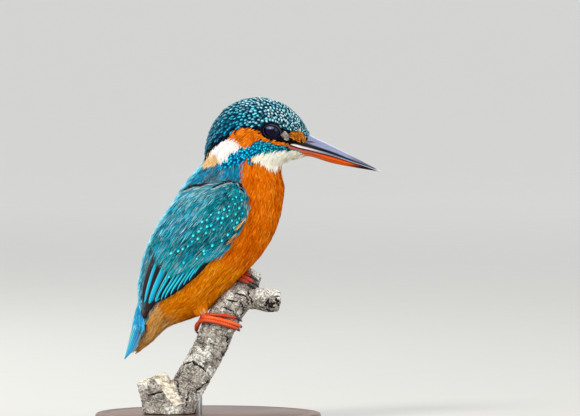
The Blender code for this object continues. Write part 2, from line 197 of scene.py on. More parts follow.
clear_selection()
bpy.ops.mesh.primitive_cylinder_add(
    vertices=144, radius=BASE_RADIUS * MM, depth=BASE_THICKNESS * MM,
    location=(0, 0, BASE_THICKNESS * MM / 2))
base = added("stand_base_wood")
bpy.ops.object.mode_set(mode="EDIT")
bpy.ops.mesh.select_mode(type="FACE")
bpy.ops.mesh.select_all(action="DESELECT")
bm = bmesh.from_edit_mesh(base.data)
for face in bm.faces:
    face.select_set(face.normal.z > 0.9)
bmesh.update_edit_mesh(base.data)
bpy.ops.mesh.inset(thickness=5.0 * MM, depth=0)
bpy.ops.mesh.inset(thickness=0.5 * MM, depth=-0.35 * MM)
bpy.ops.mesh.inset(thickness=0.5 * MM, depth=0.35 * MM)
for offset, segments, low, high in ((1.4, 5, 1.0, BASE_THICKNESS + 1.0), (0.8, 2, -1.0, 0.5)):
    choose_edges(base, lambda middle, edge: middle.xy.length > 0.99 * BASE_RADIUS * MM
                 and is_level(edge) and low * MM < middle.z < high * MM)
    bpy.ops.mesh.bevel(offset=offset * MM, segments=segments, affect="EDGES")
bpy.ops.object.mode_set(mode="OBJECT")
bpy.ops.object.shade_smooth_by_angle(angle=math.radians(35))

oiled_wood = Finish("oiled_wood", roughness=0.4, coat_weight=0.15, coat_roughness=0.25)
along_grain = oiled_wood.stretched((16.0, 160.0, 160.0))
grain = oiled_wood.noise(3.0, 6.0, 0.62, along_grain)
pores = oiled_wood.noise(26.0, 3.0, 0.6, along_grain)
wood_tone = oiled_wood.blend(grain.eased(0.32, 0.68), paint("3a2418"), paint("7a5236"))
oiled_wood.surface(
    oiled_wood.blend(pores.eased(0.56, 0.7) * 0.7, wood_tone, paint("1e120c")),
    0.34 + 0.16 * pores, pores * 0.6 + grain * 0.4, 0.25, 0.3 * MM)
dressed(base, oiled_wood, "stand_wood", "stand_base")

# --- Limb line and stand rod ----------------------------------------------------------------------
# One steel rod stands in the base and goes up into a hole drilled in the sawn limb. It is turned
# bar, brushed, with its lower end hidden in the wood. The limb's own line, given here, places it.

LIMB_POINTS = (
    (-16.5, -12.6, 2.0, 8.6), (-12.6, -11.6, 11.5, 8.2), (-8.9, -10.6, 20.0, 8.0), (-4.0, -9.2, 28.2, 7.8),
    (1.2, -7.4, 37.6, 7.9), (4.4, -5.9, 45.4, 8.0), (8.4, -3.8, 52.8, 7.6), (13.4, -1.4, 59.2, 7.2),
    (17.4, 0.8, 64.8, 5.9), (19.9, 2.2, 68.8, 4.8), (21.4, 3.2, 71.6, 4.2),
)
LIMB_DEPTH = 0.84
LIMB_LENGTH = 84.0
ROD_RADIUS = 2.2
ROD_SHARE = 0.27  # where along the limb the rod enters it
ROD_OFFSET = 3.0  # how far in front of the limb's line the rod stands
ROD_RISE = 1.0  # how far above the limb's line it ends
ROD_BOTTOM = 3.0


def flowing(rows, at):
    """Rows of numbers read at places from 0 to 1 along a smooth curve through them all."""
    rows = np.array(rows, float)
    steps = np.linalg.norm(np.diff(rows[:, :3], axis=0), axis=1)
    knots = np.concatenate([[0.0], np.cumsum(np.maximum(steps, 1e-6))])
    knots /= knots[-1]
    slopes = np.gradient(rows, knots, axis=0)
    at = np.atleast_1d(at)
    i = np.clip(np.searchsorted(knots, at, side="right") - 1, 0, len(rows) - 2)
    span = (knots[i + 1] - knots[i])[:, None]
    t = ((at - knots[i]) / span[:, 0])[:, None]
    return (
        (2 * t**3 - 3 * t**2 + 1) * rows[i]
        + (t**3 - 2 * t**2 + t) * span * slopes[i]
        + (3 * t**2 - 2 * t**3) * rows[i + 1]
        + (t**3 - t**2) * span * slopes[i + 1]
    )


def eased(x, low, high):
    """0 below low, 1 above high and a smooth rise between them."""
    t = np.clip((x - low) / (high - low), 0, 1)
    return t * t * (3 - 2 * t)


def limb_at(share):
    """Centre, direction and radius of the limb at a share of its length."""
    here, there = flowing(LIMB_POINTS, [share, min(1.0, share + 0.02)])
    return Vector(here[:3]), Vector((there - here)[:3]).normalized(), here[3]


rod_foot, _, _ = limb_at(ROD_SHARE)
rod_top = rod_foot.z + ROD_RISE
clear_selection()
bpy.ops.mesh.primitive_cylinder_add(
    vertices=48, radius=ROD_RADIUS * MM, depth=(rod_top - ROD_BOTTOM) * MM,
    location=((rod_foot.x + ROD_OFFSET) * MM, rod_foot.y * MM, (rod_top + ROD_BOTTOM) / 2 * MM))
rod = added("stand_rod_steel")
choose_edges(rod, lambda middle, edge: is_level(edge))
bpy.ops.mesh.bevel(offset=0.3 * MM, segments=2, affect="EDGES")
bpy.ops.object.mode_set(mode="OBJECT")
bpy.ops.object.shade_smooth_by_angle(angle=math.radians(35))

steel = Finish("brushed_steel", metallic=1.0, roughness=0.32)
brushing = steel.noise(9.0, 3.0, 0.6, steel.stretched((60.0, 60.0, 900.0)))
steel.surface(
    steel.blend(brushing, paint("8d8e90"), paint("b9babb")),
    0.26 + 0.16 * brushing, brushing, 0.12, 0.1 * MM)
dressed(rod, steel, "stand_metal", "stand_rod")

# --- Perch ----------------------------------------------------------------------------------------
# A length of old limb, sawn level below, with a knobby side stub and a broken one whose torn wood
# shows. Its bark is wrinkled across the limb and cracked, and pale lichen grows on it in patches.

BROKEN_TOP = Vector((-26.2, -10.0, 24.2))
TOP_WAY = Vector((-0.38, 0.05, 0.92))  # the way the broken top faces
CRACKS = (  # the deeper cracks, seen from the side
    ((7.2, 43.4), (9.5, 41.6), (9.0, 37.0), (6.1, 31.3)),
    ((-11.5, 30.1), (-7.1, 31.3), (-1.4, 27.8), (0.9, 24.4)),
    ((-16.6, 23.8), (-14.0, 22.0), (-12.9, 16.3)), ((-5.4, 17.5), (-1.4, 20.9), (1.5, 22.6)),
    ((18.2, 63.5), (20.5, 56.6)), ((9.0, 59.4), (14.2, 58.3), (17.0, 55.4), (15.9, 52.0)),
    ((7.8, 56.0), (11.9, 54.3), (13.3, 51.4)), ((12.4, 62.3), (17.0, 61.2), (19.0, 57.1)),
    ((-27.0, 16.0), (-18.0, 18.5)), ((-10.0, 11.0), (-8.5, 17.0)),
)
LICHEN = (  # middle and reach of the larger patches
    (-4.0, 34.5, 6.0), (-8.5, 32.0, 3.4), (9.5, 60.5, 3.4), (14.0, 49.5, 2.6), (30.0, 62.0, 4.6),
    (22.0, 71.5, 4.0), (-3.0, 15.5, 3.6), (1.6, 26.0, 2.6), (-30.0, 21.0, 3.4), (-17.0, 8.0, 3.6),
    (10.5, 45.5, 2.0), (24.0, 62.5, 2.6),
)
TORN_FACE = ((-25.0, 24.0), (-23.6, 30.0), (-18.0, 30.0), (-15.2, 20.5), (-11.6, 12.6), (-14.6, 10.6),
             (-19.0, 15.5), (-21.8, 20.0))
TORN_GRAIN = Vector((0.6, 0.0, -0.8))
DARK_KNOB = (29.5, 57.0, 5.0)


def depth_inside(outline, x, z):
    """How far points lie inside an outline seen from the side; below zero outside it."""
    nearest_edge, inside = np.full(x.shape, 1e9), np.zeros(x.shape, bool)
    for (x0, z0), (x1, z1) in zip(outline, outline[1:] + outline[:1]):
        ex, ez = x1 - x0, z1 - z0
        t = np.clip(((x - x0) * ex + (z - z0) * ez) / (ex * ex + ez * ez), 0, 1)
        nearest_edge = np.minimum(nearest_edge, np.hypot(x - x0 - t * ex, z - z0 - t * ez))
        inside ^= ((z0 > z) != (z1 > z)) & (x < x0 + (z - z0) * ex / (ez if ez else 1e-9))
    return np.where(inside, nearest_edge, -nearest_edge)


def placed(name, data):
    """A new object in the scene that holds these data."""
    made = bpy.data.objects.new(name, data)
    bpy.context.scene.collection.objects.link(made)
    return made


def keep_on(mesh, name, kind, values):
    """Stores a colour or a vector for each vertex of a mesh."""
    layer = mesh.attributes.new(name, f"FLOAT_{kind}", "POINT")
    layer.data.foreach_set(kind.lower(), values.astype(np.float32).ravel())


def unit(vectors):
    """The same directions, each one long."""
    return vectors / np.linalg.norm(vectors, axis=-1, keepdims=True)


def of_vertices(mesh, what):
    """One vector for each vertex of a mesh."""
    read = np.empty(len(mesh.vertices) * 3, np.float32)
    mesh.vertices.foreach_get(what, read)
    return read.reshape(-1, 3)


def drawn_out(q, along, across, shift):
    """Noise at a place in the limb's own frame, stretched along it or across it."""
    return abs(noise.noise(Vector((q.x * along, q.y * across, q.z * across)) + Vector(shift)))


limb_shares = np.linspace(0, 1, 120)
limb_line = flowing(LIMB_POINTS, limb_shares)[:, :3]
bark_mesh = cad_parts["perch"].data.copy()
bark_mesh.name = "perch_bark"
perch = placed("perch_bark", bark_mesh)
bm = bmesh.new()
bm.from_mesh(bark_mesh)
bmesh.ops.remove_doubles(bm, verts=bm.verts, dist=1e-6)
bm.to_mesh(bark_mesh)
bm.free()
choose(perch)
remesh = perch.modifiers.new("even", "REMESH")
remesh.mode, remesh.voxel_size = "VOXEL", 0.42 * MM
bpy.ops.object.modifier_apply(modifier=remesh.name)
settle = perch.modifiers.new("settle", "SMOOTH")
settle.factor, settle.iterations = 0.5, 10
bpy.ops.object.modifier_apply(modifier=settle.name)

bark_points, bark_normals = of_vertices(perch.data, "co") / MM, of_vertices(perch.data, "normal")
# Each point in the limb's own straightened frame: along it, across it and up from its middle line.
nearest = np.argmin(((bark_points[:, None, :] - limb_line[None, ::4]) ** 2).sum(2), axis=1) * 4
limb_ways = unit(np.gradient(limb_line, axis=0))
limb_sides = unit(np.cross(limb_ways, (0.0, 0.0, 1.0)))
off_line = bark_points - limb_line[nearest]
lying = np.stack([
    limb_shares[nearest] * LIMB_LENGTH + (off_line * limb_ways[nearest]).sum(1),
    (off_line * limb_sides[nearest]).sum(1),
    (off_line * np.cross(limb_sides, limb_ways)[nearest]).sum(1)], axis=1)
x, y, z = bark_points.T
facing = y < limb_line[nearest, 1] + 2.0
split = np.zeros(len(x))
for line in CRACKS:
    wander = 0.35 * np.sin(1.7 * z + 0.9 * x) + 0.2 * np.sin(4.1 * z - 1.3 * x)
    to_line = -depth_inside(line + line[-2:0:-1], x + wander, z)
    split = np.maximum(split, 1 - eased(to_line, 0.05, 0.3 + 0.45 * np.sin(0.8 * x + 1.1 * z) ** 2))
split *= facing
patch = np.max([1.0 - np.hypot(x - px, z - pz) / reach for px, pz, reach in LICHEN], axis=0)
patch *= np.where(facing, 1.0, 0.6)
dark_end = eased(1.0 - np.hypot(x - DARK_KNOB[0], z - DARK_KNOB[1]) / DARK_KNOB[2], 0.0, 0.4)
torn_face = eased(depth_inside(TORN_FACE, x, z), -0.2, 0.4) * (y < -6.0)
bark_paint = np.ones((len(bark_points), 4), np.float32)
raised = np.zeros(len(bark_points))
for i, (point, own, normal) in enumerate(zip(bark_points, lying, bark_normals)):
    p, q = Vector(point), Vector(own)
    broad = noise.noise(p * 0.11)
    lumps = noise.fractal(p * 0.2, 0.8, 2.2, 4)
    fine = noise.fractal(p * 1.1, 0.8, 2.0, 3)
    fissure = max(0.0, 1.0 - 15.0 * drawn_out(q, 0.1, 0.3, (7, 3, 1)))
    ring = max(0.0, 1.0 - 9.0 * drawn_out(q, 0.34, 0.1, (1, 9, 4)))
    wrinkle = noise.fractal(Vector((q.x * 1.3, q.y * 0.3, q.z * 0.3)), 0.9, 2.0, 3)
    crack = max(split[i], 0.75 * fissure * (0.4 + broad), 0.8 * ring * (0.5 - broad))
    scab = noise.fractal(p * 0.19 + Vector((31, 5, 12)), 0.9, 2.0, 3)
    crust = max(patch[i] * 2.2 + 1.1 * scab + 0.8 * fine, (scab - 0.42 + 0.4 * fine) * 3.0)
    lichen = min(1.0, max(0.0, crust))
    lichen *= 1.0 - 0.8 * split[i]
    off_top = p - BROKEN_TOP
    at_top = off_top.length < 8.0 and off_top.dot(TOP_WAY) > -1.2 - 2.0 * lumps
    torn = 1.0 if at_top and p.z > 15 else torn_face[i]
    height = 0.3 * lumps + 0.14 * fine + 0.2 * wrinkle * (1 - lichen) - 0.75 * crack + 0.22 * lichen - 0.1
    with_grain = TORN_GRAIN * p.dot(TORN_GRAIN)
    fibre = abs(noise.noise((p - with_grain) * 0.9 + with_grain * 0.1))
    height = height * (1 - torn) + torn * (1.3 * fibre ** 0.7 - (1.2 if at_top else 0.35))
    raised[i] = 0.0 if normal[2] < -0.95 and p.z < 8.2 else min(0.30, height)
    # Darker on the knob at the end of the side stub.
    knob_darkening = dark_end[i] * min(0.9, max(0.0, 0.45 + 1.5 * lumps + 0.9 * fine))
    bark_paint[i, :3] = (lichen * (1 - 0.6 * dark_end[i]), max(0.9 * crack, knob_darkening), torn)
bark_points += bark_normals * raised[:, None]
perch.data.vertices.foreach_set("co", (bark_points * MM).astype(np.float32).ravel())
keep_on(perch.data, "paint", "COLOR", bark_paint)
keep_on(perch.data, "lie", "VECTOR", lying)
perch.data.update()
perch.data.shade_smooth()

bark = Finish("bark_and_lichen", roughness=0.9, specular_ior_level=0.1)
lie = bark.painted("lie", "Vector")
wear = bark.node("ShaderNodeSeparateColor", {}, [bark.painted()])
furrowed = Reading(bark, wear.socket.node.outputs[1])
torn_wood = Reading(bark, wear.socket.node.outputs[2])
speckle = bark.noise(900.0, 5.0, 0.7)
mottle = bark.noise(170.0, 5.0, 0.7)
dashes = bark.noise(1.0, 4.0, 0.65, bark.stretched((2.4, 0.5, 0.5), where=lie))
veins = bark.noise(1.0, 4.0, 0.6, bark.stretched((0.16, 0.75, 0.75), where=lie))
bark_tone = bark.blend(mottle.eased(0.34, 0.62), paint("6a625a"), paint("b6aea2"))
bark_tone = bark.blend(dashes.eased(0.54, 0.62) * 0.85, bark_tone, paint("dfd9ce"))
bark_tone = bark.blend((1.0 - dashes.eased(0.37, 0.42)) * 0.8, bark_tone, paint("3a3230"))
thin_crack = 1.0 - (veins - 0.5).size().eased(0.004, 0.02)
bark_tone = bark.blend(thin_crack * 0.7, bark_tone, paint("2a2320"))
crust = bark.blend(speckle.eased(0.36, 0.58), paint("8f8c7e"), paint("f2f0e8"))
bark_tone = bark.blend((wear + (mottle - 0.5) * 1.4).eased(0.4, 0.62), bark_tone, crust)
bark_tone = bark.blend((furrowed + (speckle - 0.5) * 1.3).eased(0.25, 0.6), bark_tone, paint("241d1b"))
splinters = bark.noise(60.0, 5.0, 0.65, bark.stretched((1.5, 9.0, 9.0), (0.0, 0.93, 0.0)))
splinter_tone = bark.blend(splinters.eased(0.34, 0.6), paint("8a7454"), paint("fbf3e0"))
bark.surface(
    bark.blend(torn_wood.eased(0.3, 0.7), bark_tone, splinter_tone),
    0.82 + 0.14 * mottle,
    speckle * 0.35 + mottle * 0.3 + dashes * 0.7 + splinters * 0.3 - thin_crack * 0.5, 0.9, 0.6 * MM)
dressed(perch, bark, "bark", "perch")

# --- Form of the body -----------------------------------------------------------------------------
# The bird's flesh, from the tip of the under-tail coverts to the root of the bill, is one smooth
# form. Skin and plumage are both laid out on it by their place along it and their turn around it.

BODY_STATIONS = {
    "undertail_tip": ((-33.6, 38.6), (-31.0, 35.6), 1.6, 0.5),
    "undertail": ((-31.3, 47.4), (-25.5, 39.8), 6.0, 0.5),
    "vent": ((-31.7, 56.6), (-18.4, 46.4), 10.5, 0.5),
    "rump": ((-32.2, 64.9), (-10.6, 49.3), 14.0, 0.5),
    "lower_belly": ((-30.8, 73.6), (-2.3, 52.4), 16.8, 0.5),
    "belly": ((-28.1, 83.3), (8.3, 62.6), 18.4, 0.5),
    "middle": ((-23.5, 92.9), (17.9, 72.2), 19.0, 0.5),
    "breast": ((-17.9, 101.2), (25.3, 80.5), 18.8, 0.5),
    "upper_breast": ((-12.9, 109.0), (31.3, 91.5), 17.6, 0.5),
    "shoulder": ((-8.3, 115.5), (34.5, 103.5), 16.1, 0.5),
    "neck_base": ((-4.1, 120.1), (35.0, 111.3), 14.9, 0.5),
    "neck_top": ((-1.8, 123.3), (33.8, 117.0), 14.3, 0.5),
    "nape": ((-1.6, 127.9), (34.0, 119.6), 14.3, 0.5),
    "hind_crown": ((0.5, 136.6), (35.0, 121.4), 14.5, 0.53),
    "crown": ((7.4, 146.7), (36.8, 122.6), 14.4, 0.55),
    "mid_crown": ((17.9, 151.8), (38.6, 123.3), 13.4, 0.57),
    "fore_crown": ((28.5, 151.6), (40.5, 123.7), 11.7, 0.59),
    "brow": ((37.3, 147.7), (42.3, 124.2), 9.3, 0.6),
    "forehead": ((43.7, 141.2), (44.2, 124.7), 6.7, 0.6),
    "bill_base": ((47.4, 134.6), (45.5, 125.1), 4.7, 0.6),
}
BODY_ROUNDNESS = 0.92
EYE_CENTRE = (29.5, 136.9)
EYE_OUT = 9.8
EYE_RADIUS = 4.35
EYE_SLANT = math.radians(15)
SOCKET_OUT = 13.8
SOCKET_RADII = (5.0, 2.4, 4.1)


class Form:
    """A curved form, read anywhere from a fine grid of its points, that feathers can lie on.

    Its first coordinate runs along it and its second across it, each from 0 to 1.
    """

    def __init__(self, grid, core, low=0.0, high=1.0):
        self.low, self.high = low, high
        along = np.gradient(grid, axis=0) * (grid.shape[0] - 1)
        across = np.gradient(grid, axis=1) * (grid.shape[1] - 1) / (high - low)
        out = np.cross(along, across)
        out /= np.linalg.norm(out, axis=2, keepdims=True) + 1e-9
        out *= np.sign((out * (grid - core)).sum(2, keepdims=True))
        self.table = np.concatenate([grid, along, across, out], axis=2)

    def at(self, a, b, wraps=False):
        """Place, the step per unit along, the step per unit across, and the way out."""
        if wraps:
            b = b % 1.0
        rows, columns = self.table.shape[:2]
        held_a, held_b = np.clip(a, 0, 1), np.clip(b, self.low, self.high)
        i = held_a * (rows - 1)
        j = (held_b - self.low) / (self.high - self.low) * (columns - 1)
        i0 = np.minimum(i.astype(int), rows - 2)
        j0 = np.minimum(j.astype(int), columns - 2)
        fi, fj = (i - i0)[:, None], (j - j0)[:, None]
        read = (
            (self.table[i0, j0] * (1 - fj) + self.table[i0, j0 + 1] * fj) * (1 - fi)
            + (self.table[i0 + 1, j0] * (1 - fj) + self.table[i0 + 1, j0 + 1] * fj) * fi
        )
        place, along, across, out = read[:, :3], read[:, 3:6], read[:, 6:9], read[:, 9:]
        place = place + along * (a - held_a)[:, None] + across * (b - held_b)[:, None]
        return place, along, across, unit(out)


def travelled(line):
    """The distance along a line of points from its start to each of them."""
    return np.concatenate([[0.0], np.cumsum(np.linalg.norm(np.diff(line, axis=0), axis=1))])


def eye_oval(dx, dz, half_length, half_height):
    """Below 1 where an offset from the eye's middle lies in an oval that slants as the eye does."""
    long = (dx * math.cos(EYE_SLANT) - dz * math.sin(EYE_SLANT)) / half_length
    high = (dx * math.sin(EYE_SLANT) + dz * math.cos(EYE_SLANT)) / half_height
    return long**2 + high**2


def body_sections(shares, turns):
    """Points of the body's sections, with the eye's socket dished into each side of the head."""
    rows = [
        ((bx + fx) / 2, 0.0, (bz + fz) / 2, bx, bz, fx, fz, width, widest)
        for (bx, bz), (fx, fz), width, widest in BODY_STATIONS.values()
    ]
    read = flowing(rows, shares)[:, None, 3:]
    bx, bz, fx, fz, width, widest = (read[..., k] for k in range(6))
    down = ((1 - np.cos(turns)) / 2)[None] ** (np.log(widest) / math.log(0.5))
    side = np.sign(np.sin(turns)) * np.abs(np.sin(turns)) ** BODY_ROUNDNESS
    x, y, z = bx + (fx - bx) * down, width * side[None], bz + (fz - bz) * down
    socket = eye_oval(x - EYE_CENTRE[0], z - EYE_CENTRE[1], SOCKET_RADII[0], SOCKET_RADII[2])
    dish = SOCKET_OUT - SOCKET_RADII[1] * np.sqrt(np.clip(1 - socket, 0, 1))
    inside = (socket < 1) & (np.abs(y) > 6)
    y = np.where(inside, np.sign(y) * np.minimum(np.abs(y), dish), y)
    return np.stack([x, y, z], axis=2)


FORM_ROWS, FORM_COLUMNS, OVERLAP = 421, 289, 0.1
form_grid = body_sections(
    np.linspace(0, 1, FORM_ROWS), np.linspace(-OVERLAP, 1 + OVERLAP, FORM_COLUMNS) * 2 * math.pi)
ring_part = form_grid[:, int(FORM_COLUMNS * 0.1):int(FORM_COLUMNS * 0.9)]
body = Form(form_grid, ring_part.mean(1, keepdims=True), -OVERLAP, 1 + OVERLAP)
middles = np.array([[(b[0] + f[0]) / 2, (b[1] + f[1]) / 2] for b, f, _, _ in BODY_STATIONS.values()])
middles_at = travelled(middles)
STATION_SHARES = dict(zip(BODY_STATIONS, middles_at / middles_at[-1]))

# --- Markings -------------------------------------------------------------------------------------
# Blue above and orange below, with the orange ear patch, the white patch on the side of the neck,
# the blue stripe from the bill to the neck, the white throat and the dark line through the eye.
# Each patch is an outline seen from the side. Skin and plumage take their colours from here.

MARKS = {  # in the order they are laid on
    "mask": ((24.4, 139.6), (27.6, 141.4), (31.7, 140.7), (35.4, 137.7), (40.9, 137.1), (46.5, 133.4),
             (47.4, 131.1), (42.3, 130.2), (37.7, 130.4), (31.7, 131.6), (27.6, 132.7), (24.6, 135.7)),
    "ear_shade": ((-2.4, 124.0), (-0.6, 127.6), (2.8, 131.6), (7.0, 135.0), (11.5, 137.6), (16.1, 139.0),
                  (22.1, 139.2), (25.3, 138.5), (24.8, 135.7), (21.6, 137.0), (16.6, 138.2), (12.4, 136.2),
                  (9.4, 134.3), (5.2, 131.1), (1.6, 127.6), (-0.6, 124.6)),
    "malar": ((6.4, 123.3), (10.1, 126.5), (14.7, 129.7), (18.4, 132.0), (22.1, 133.1), (25.3, 133.0),
              (27.6, 131.5), (30.8, 130.2), (35.4, 129.5), (37.9, 129.0), (37.7, 127.6), (33.1, 127.1),
              (28.5, 126.5), (24.8, 125.6), (21.6, 124.7), (18.4, 123.5), (14.7, 121.9), (12.0, 120.5),
              (9.2, 120.6), (6.4, 121.5)),
    "throat": ((38.2, 127.6), (43.2, 126.9), (47.8, 125.3), (42.3, 123.6), (37.7, 123.0), (34.2, 121.0),
               (32.4, 119.2), (29.6, 118.4), (27.4, 119.4), (26.2, 122.0), (23.0, 123.6), (20.2, 123.4),
               (19.6, 124.2), (23.0, 125.2), (26.2, 125.9), (33.1, 127.1)),
    "ear": ((9.4, 134.3), (12.4, 136.2), (14.7, 137.6), (17.0, 138.2), (20.2, 137.6), (22.6, 136.3),
            (24.4, 134.6), (26.2, 133.7), (29.0, 132.4), (32.6, 131.4), (37.4, 130.6), (37.3, 129.8),
            (33.1, 130.5), (28.6, 131.4), (25.8, 132.5), (23.6, 133.2), (21.2, 132.0), (19.3, 130.6),
            (17.0, 130.1), (14.9, 130.3), (13.8, 131.6), (12.6, 132.6), (11.0, 133.2)),
    "neck_white": ((-2.6, 121.4), (-0.6, 124.6), (1.6, 127.6), (5.2, 131.1), (9.4, 133.2), (12.4, 133.1),
                   (14.0, 131.8), (15.2, 130.0), (12.4, 128.3), (9.4, 126.2), (6.6, 123.9), (3.4, 121.9),
                   (0.0, 120.6)),
    "lore": ((37.7, 136.0), (40.9, 137.0), (43.5, 135.8), (44.7, 133.6), (43.4, 132.6), (39.8, 133.0),
             (37.6, 134.0)),
    "lore_buff": ((33.9, 135.5), (35.4, 136.4), (36.6, 135.4), (36.8, 133.7), (35.6, 133.1), (34.4, 133.8)),
}
BLUE_SHARES = (  # how far down from the back the blue reaches, as a share of the body's depth
    ("undertail_tip", 0.05), ("undertail", 0.22), ("vent", 0.4), ("rump", 0.42), ("middle", 0.44),
    ("upper_breast", 0.46), ("shoulder", 0.5), ("neck_base", 0.53), ("neck_top", 0.5), ("bill_base", 0.5),
)
STRIPE_HALF_WIDTH = 5.2
COLLAR_HEIGHT = 122.3
SKIN_PAINTS = {
    "crown": "063a4c", "mask": "07080d", "ear_shade": "061020", "malar": "022c4c", "throat": "d8cbb0",
    "ear": "a54a10", "neck_white": "e0d8c8", "lore": "7a3a10", "lore_buff": "8a8070", "mantle": "0f4a5a",
    "stripe": "1298b8", "breast": "9c400a", "belly": "a4500c", "undertail": "9a6a30",
}


def ripple(place, pitch, turn=0.0):
    """A gentle uneven wave through space, from -1 to 1."""
    x, y, z = place.T * (2 * math.pi / pitch)
    wave = np.sin(x + 0.7 * np.sin(0.8 * z + turn) + turn) + np.sin(0.9 * y + np.sin(1.1 * x) - turn)
    return (wave + np.sin(1.2 * z + np.sin(0.7 * y + 2 * turn))) / 3


def marked(a, b, place, spread=0.0, rng=None):
    """The name of the marking at each place on the body."""
    x = place[:, 0] + 0.2 * ripple(place, 3.0)
    z = place[:, 2] + 0.2 * ripple(place, 2.6, 2.0)
    if spread:
        x, z = x + rng.normal(0, spread, len(x)), z + rng.normal(0, spread, len(x))
    y = np.abs(place[:, 1])
    down = (1 - np.cos(2 * math.pi * b)) / 2
    blue = np.interp(a, [STATION_SHARES[n] for n, _ in BLUE_SHARES], [s for _, s in BLUE_SHARES])
    blue = blue + 0.02 * ripple(place, 6.0, 1.0)
    name = np.where(down < blue, "mantle", "breast").astype("<U10")
    name[(down < blue) & (y < STRIPE_HALF_WIDTH + 0.6 * ripple(place, 7.0)) & (down < 0.3)] = "stripe"
    name[(down >= blue) & (a < STATION_SHARES["middle"])] = "belly"
    name[(down >= blue) & (a < STATION_SHARES["rump"] + 0.02 * ripple(place, 8.0))] = "undertail"
    name[(z > COLLAR_HEIGHT) & (a > STATION_SHARES["neck_base"])] = "crown"
    for mark, outline in MARKS.items():
        within = (depth_inside(outline, x, z) > 0) & (a > STATION_SHARES["shoulder"])
        if mark == "neck_white":
            within &= y > 3.5
        name[within] = mark
    # What the outlines leave free under the eye is dark above the orange line and blue below it.
    cheek_top = np.interp(x, (25, 30, 40, 47), (137.4, 133.0, 131.5, 129.5))
    free_cheek = (name == "crown") & (x > 20.0) & (z < cheek_top)
    under = z < np.interp(x, (23, 26, 29, 33, 37), (133.5, 133.3, 132.0, 131.0, 130.2))
    name[free_cheek & under], name[free_cheek & ~under] = "malar", "mask"
    return name


# --- Skin -----------------------------------------------------------------------------------------
# One unbroken skin under the whole plumage, deeper under the body's long feathers than on the face.
# The lids are part of it: a firm rim round each eye that runs down over the ball into the socket.

SKIN_ROWS, SKIN_COLUMNS = 190, 120
LID_HALF, LID_DROP = (3.95, 2.8), 0.25
LID_STEPS = (  # share of the rim's outline, distance from the ball's middle, how much wider, and painted sheen
    (0.97, 4.2, 0.0, 0.0), (1.0, 4.5, 0.0, 0.0), (1.0, 4.62, 0.1, 0.2), (1.0, 4.66, 0.22, 0.9),
    (1.0, 4.6, 0.38, 0.35), (1.0, 4.52, 0.6, 0.05), (1.0, 4.5, 0.85, 0.0), (1.0, 4.48, 1.1, 0.0),
    (1.0, 4.46, 1.35, 0.0), (1.0, 4.42, 9.0, 0.0),
)


def made_mesh(name, points, faces, colours=None, maps=None):
    """An object from arrays: points in millimetres, faces of one size, colours per point, UVs per point."""
    mesh = bpy.data.meshes.new(name)
    count, corners = faces.shape
    mesh.vertices.add(len(points))
    mesh.vertices.foreach_set("co", (np.asarray(points) * MM).astype(np.float32).ravel())
    mesh.loops.add(faces.size)
    mesh.loops.foreach_set("vertex_index", faces.astype(np.int32).ravel())
    mesh.polygons.add(count)
    mesh.polygons.foreach_set("loop_start", np.arange(count, dtype=np.int32) * corners)
    mesh.update(calc_edges=True)
    mesh.validate()
    for key, uv in (maps or {}).items():
        layer = mesh.uv_layers.new(name=key)
        spread = uv if len(uv) == faces.size else uv[faces.ravel()]
        layer.data.foreach_set("uv", spread.astype(np.float32).ravel())
    if colours is not None:
        full = np.ones((len(points), 4), np.float32)
        full[:, :3] = colours
        keep_on(mesh, "paint", "COLOR", full)
    mesh.shade_smooth()
    return placed(name, mesh)


def mixed(first, second, amount):
    """Between two colours, with one amount for all points or one for each."""
    amount = np.asarray(amount)[..., None]
    return np.asarray(first) * (1 - amount) + np.asarray(second) * amount


BARE_BILL = ((36.9, 130.6), (40.6, 131.0), (44.2, 131.4), (47.0, 132.6), (48.6, 136.6), (56.0, 137.0),
             (56.0, 122.0), (47.9, 125.0), (44.6, 126.9), (41.4, 127.6), (37.9, 128.0), (37.2, 129.3))


def skin_depth(a, place):
    """How far the skin lies below the tips of the plumage; deeper where the bare bill comes through."""
    stations = ("undertail_tip", "undertail", "neck_top", "hind_crown", "fore_crown", "bill_base")
    depth = np.interp(a, [STATION_SHARES[n] for n in stations], (0.5, 1.2, 1.3, 0.75, 0.55, 0.3))
    bare = eased(depth_inside(BARE_BILL, place[:, 0], place[:, 2]), -0.3, 0.9)
    return depth + 1.6 * bare * (a > STATION_SHARES["shoulder"])


def banded(rows, columns, closed):
    """Faces between rows of points that stand one after another."""
    r, c = np.meshgrid(np.arange(rows - 1), np.arange(columns if closed else columns - 1), indexing="ij")
    here, beside = r * columns + c, r * columns + (c + 1) % columns
    return np.stack([here, beside, beside + columns, here + columns], axis=2).reshape(-1, 4)


skin_a = np.repeat(np.linspace(0, 1, SKIN_ROWS), SKIN_COLUMNS)
skin_b = np.tile(np.arange(SKIN_COLUMNS) / SKIN_COLUMNS, SKIN_ROWS)
skin_place, _, _, skin_out = body.at(skin_a, skin_b, True)
skin_points = skin_place - skin_out * skin_depth(skin_a, skin_place)[:, None]
skin_names = marked(skin_a, skin_b, skin_place)
skin_colours = np.array([paint(SKIN_PAINTS[n]) for n in skin_names])
ends = np.array([skin_points[:SKIN_COLUMNS].mean(0), skin_points[-SKIN_COLUMNS:].mean(0)])
skin_faces = banded(SKIN_ROWS, SKIN_COLUMNS, True)
loop_u = np.stack([skin_b[skin_faces], skin_a[skin_faces]], axis=2)
loop_u[..., 0] += (loop_u[..., 0] < 0.5) & (loop_u[..., 0].max(1, keepdims=True) > 0.9)
parts_points, parts_faces, parts_colours, parts_uv = [skin_points], [skin_faces], [skin_colours], [loop_u]
total = len(skin_points)
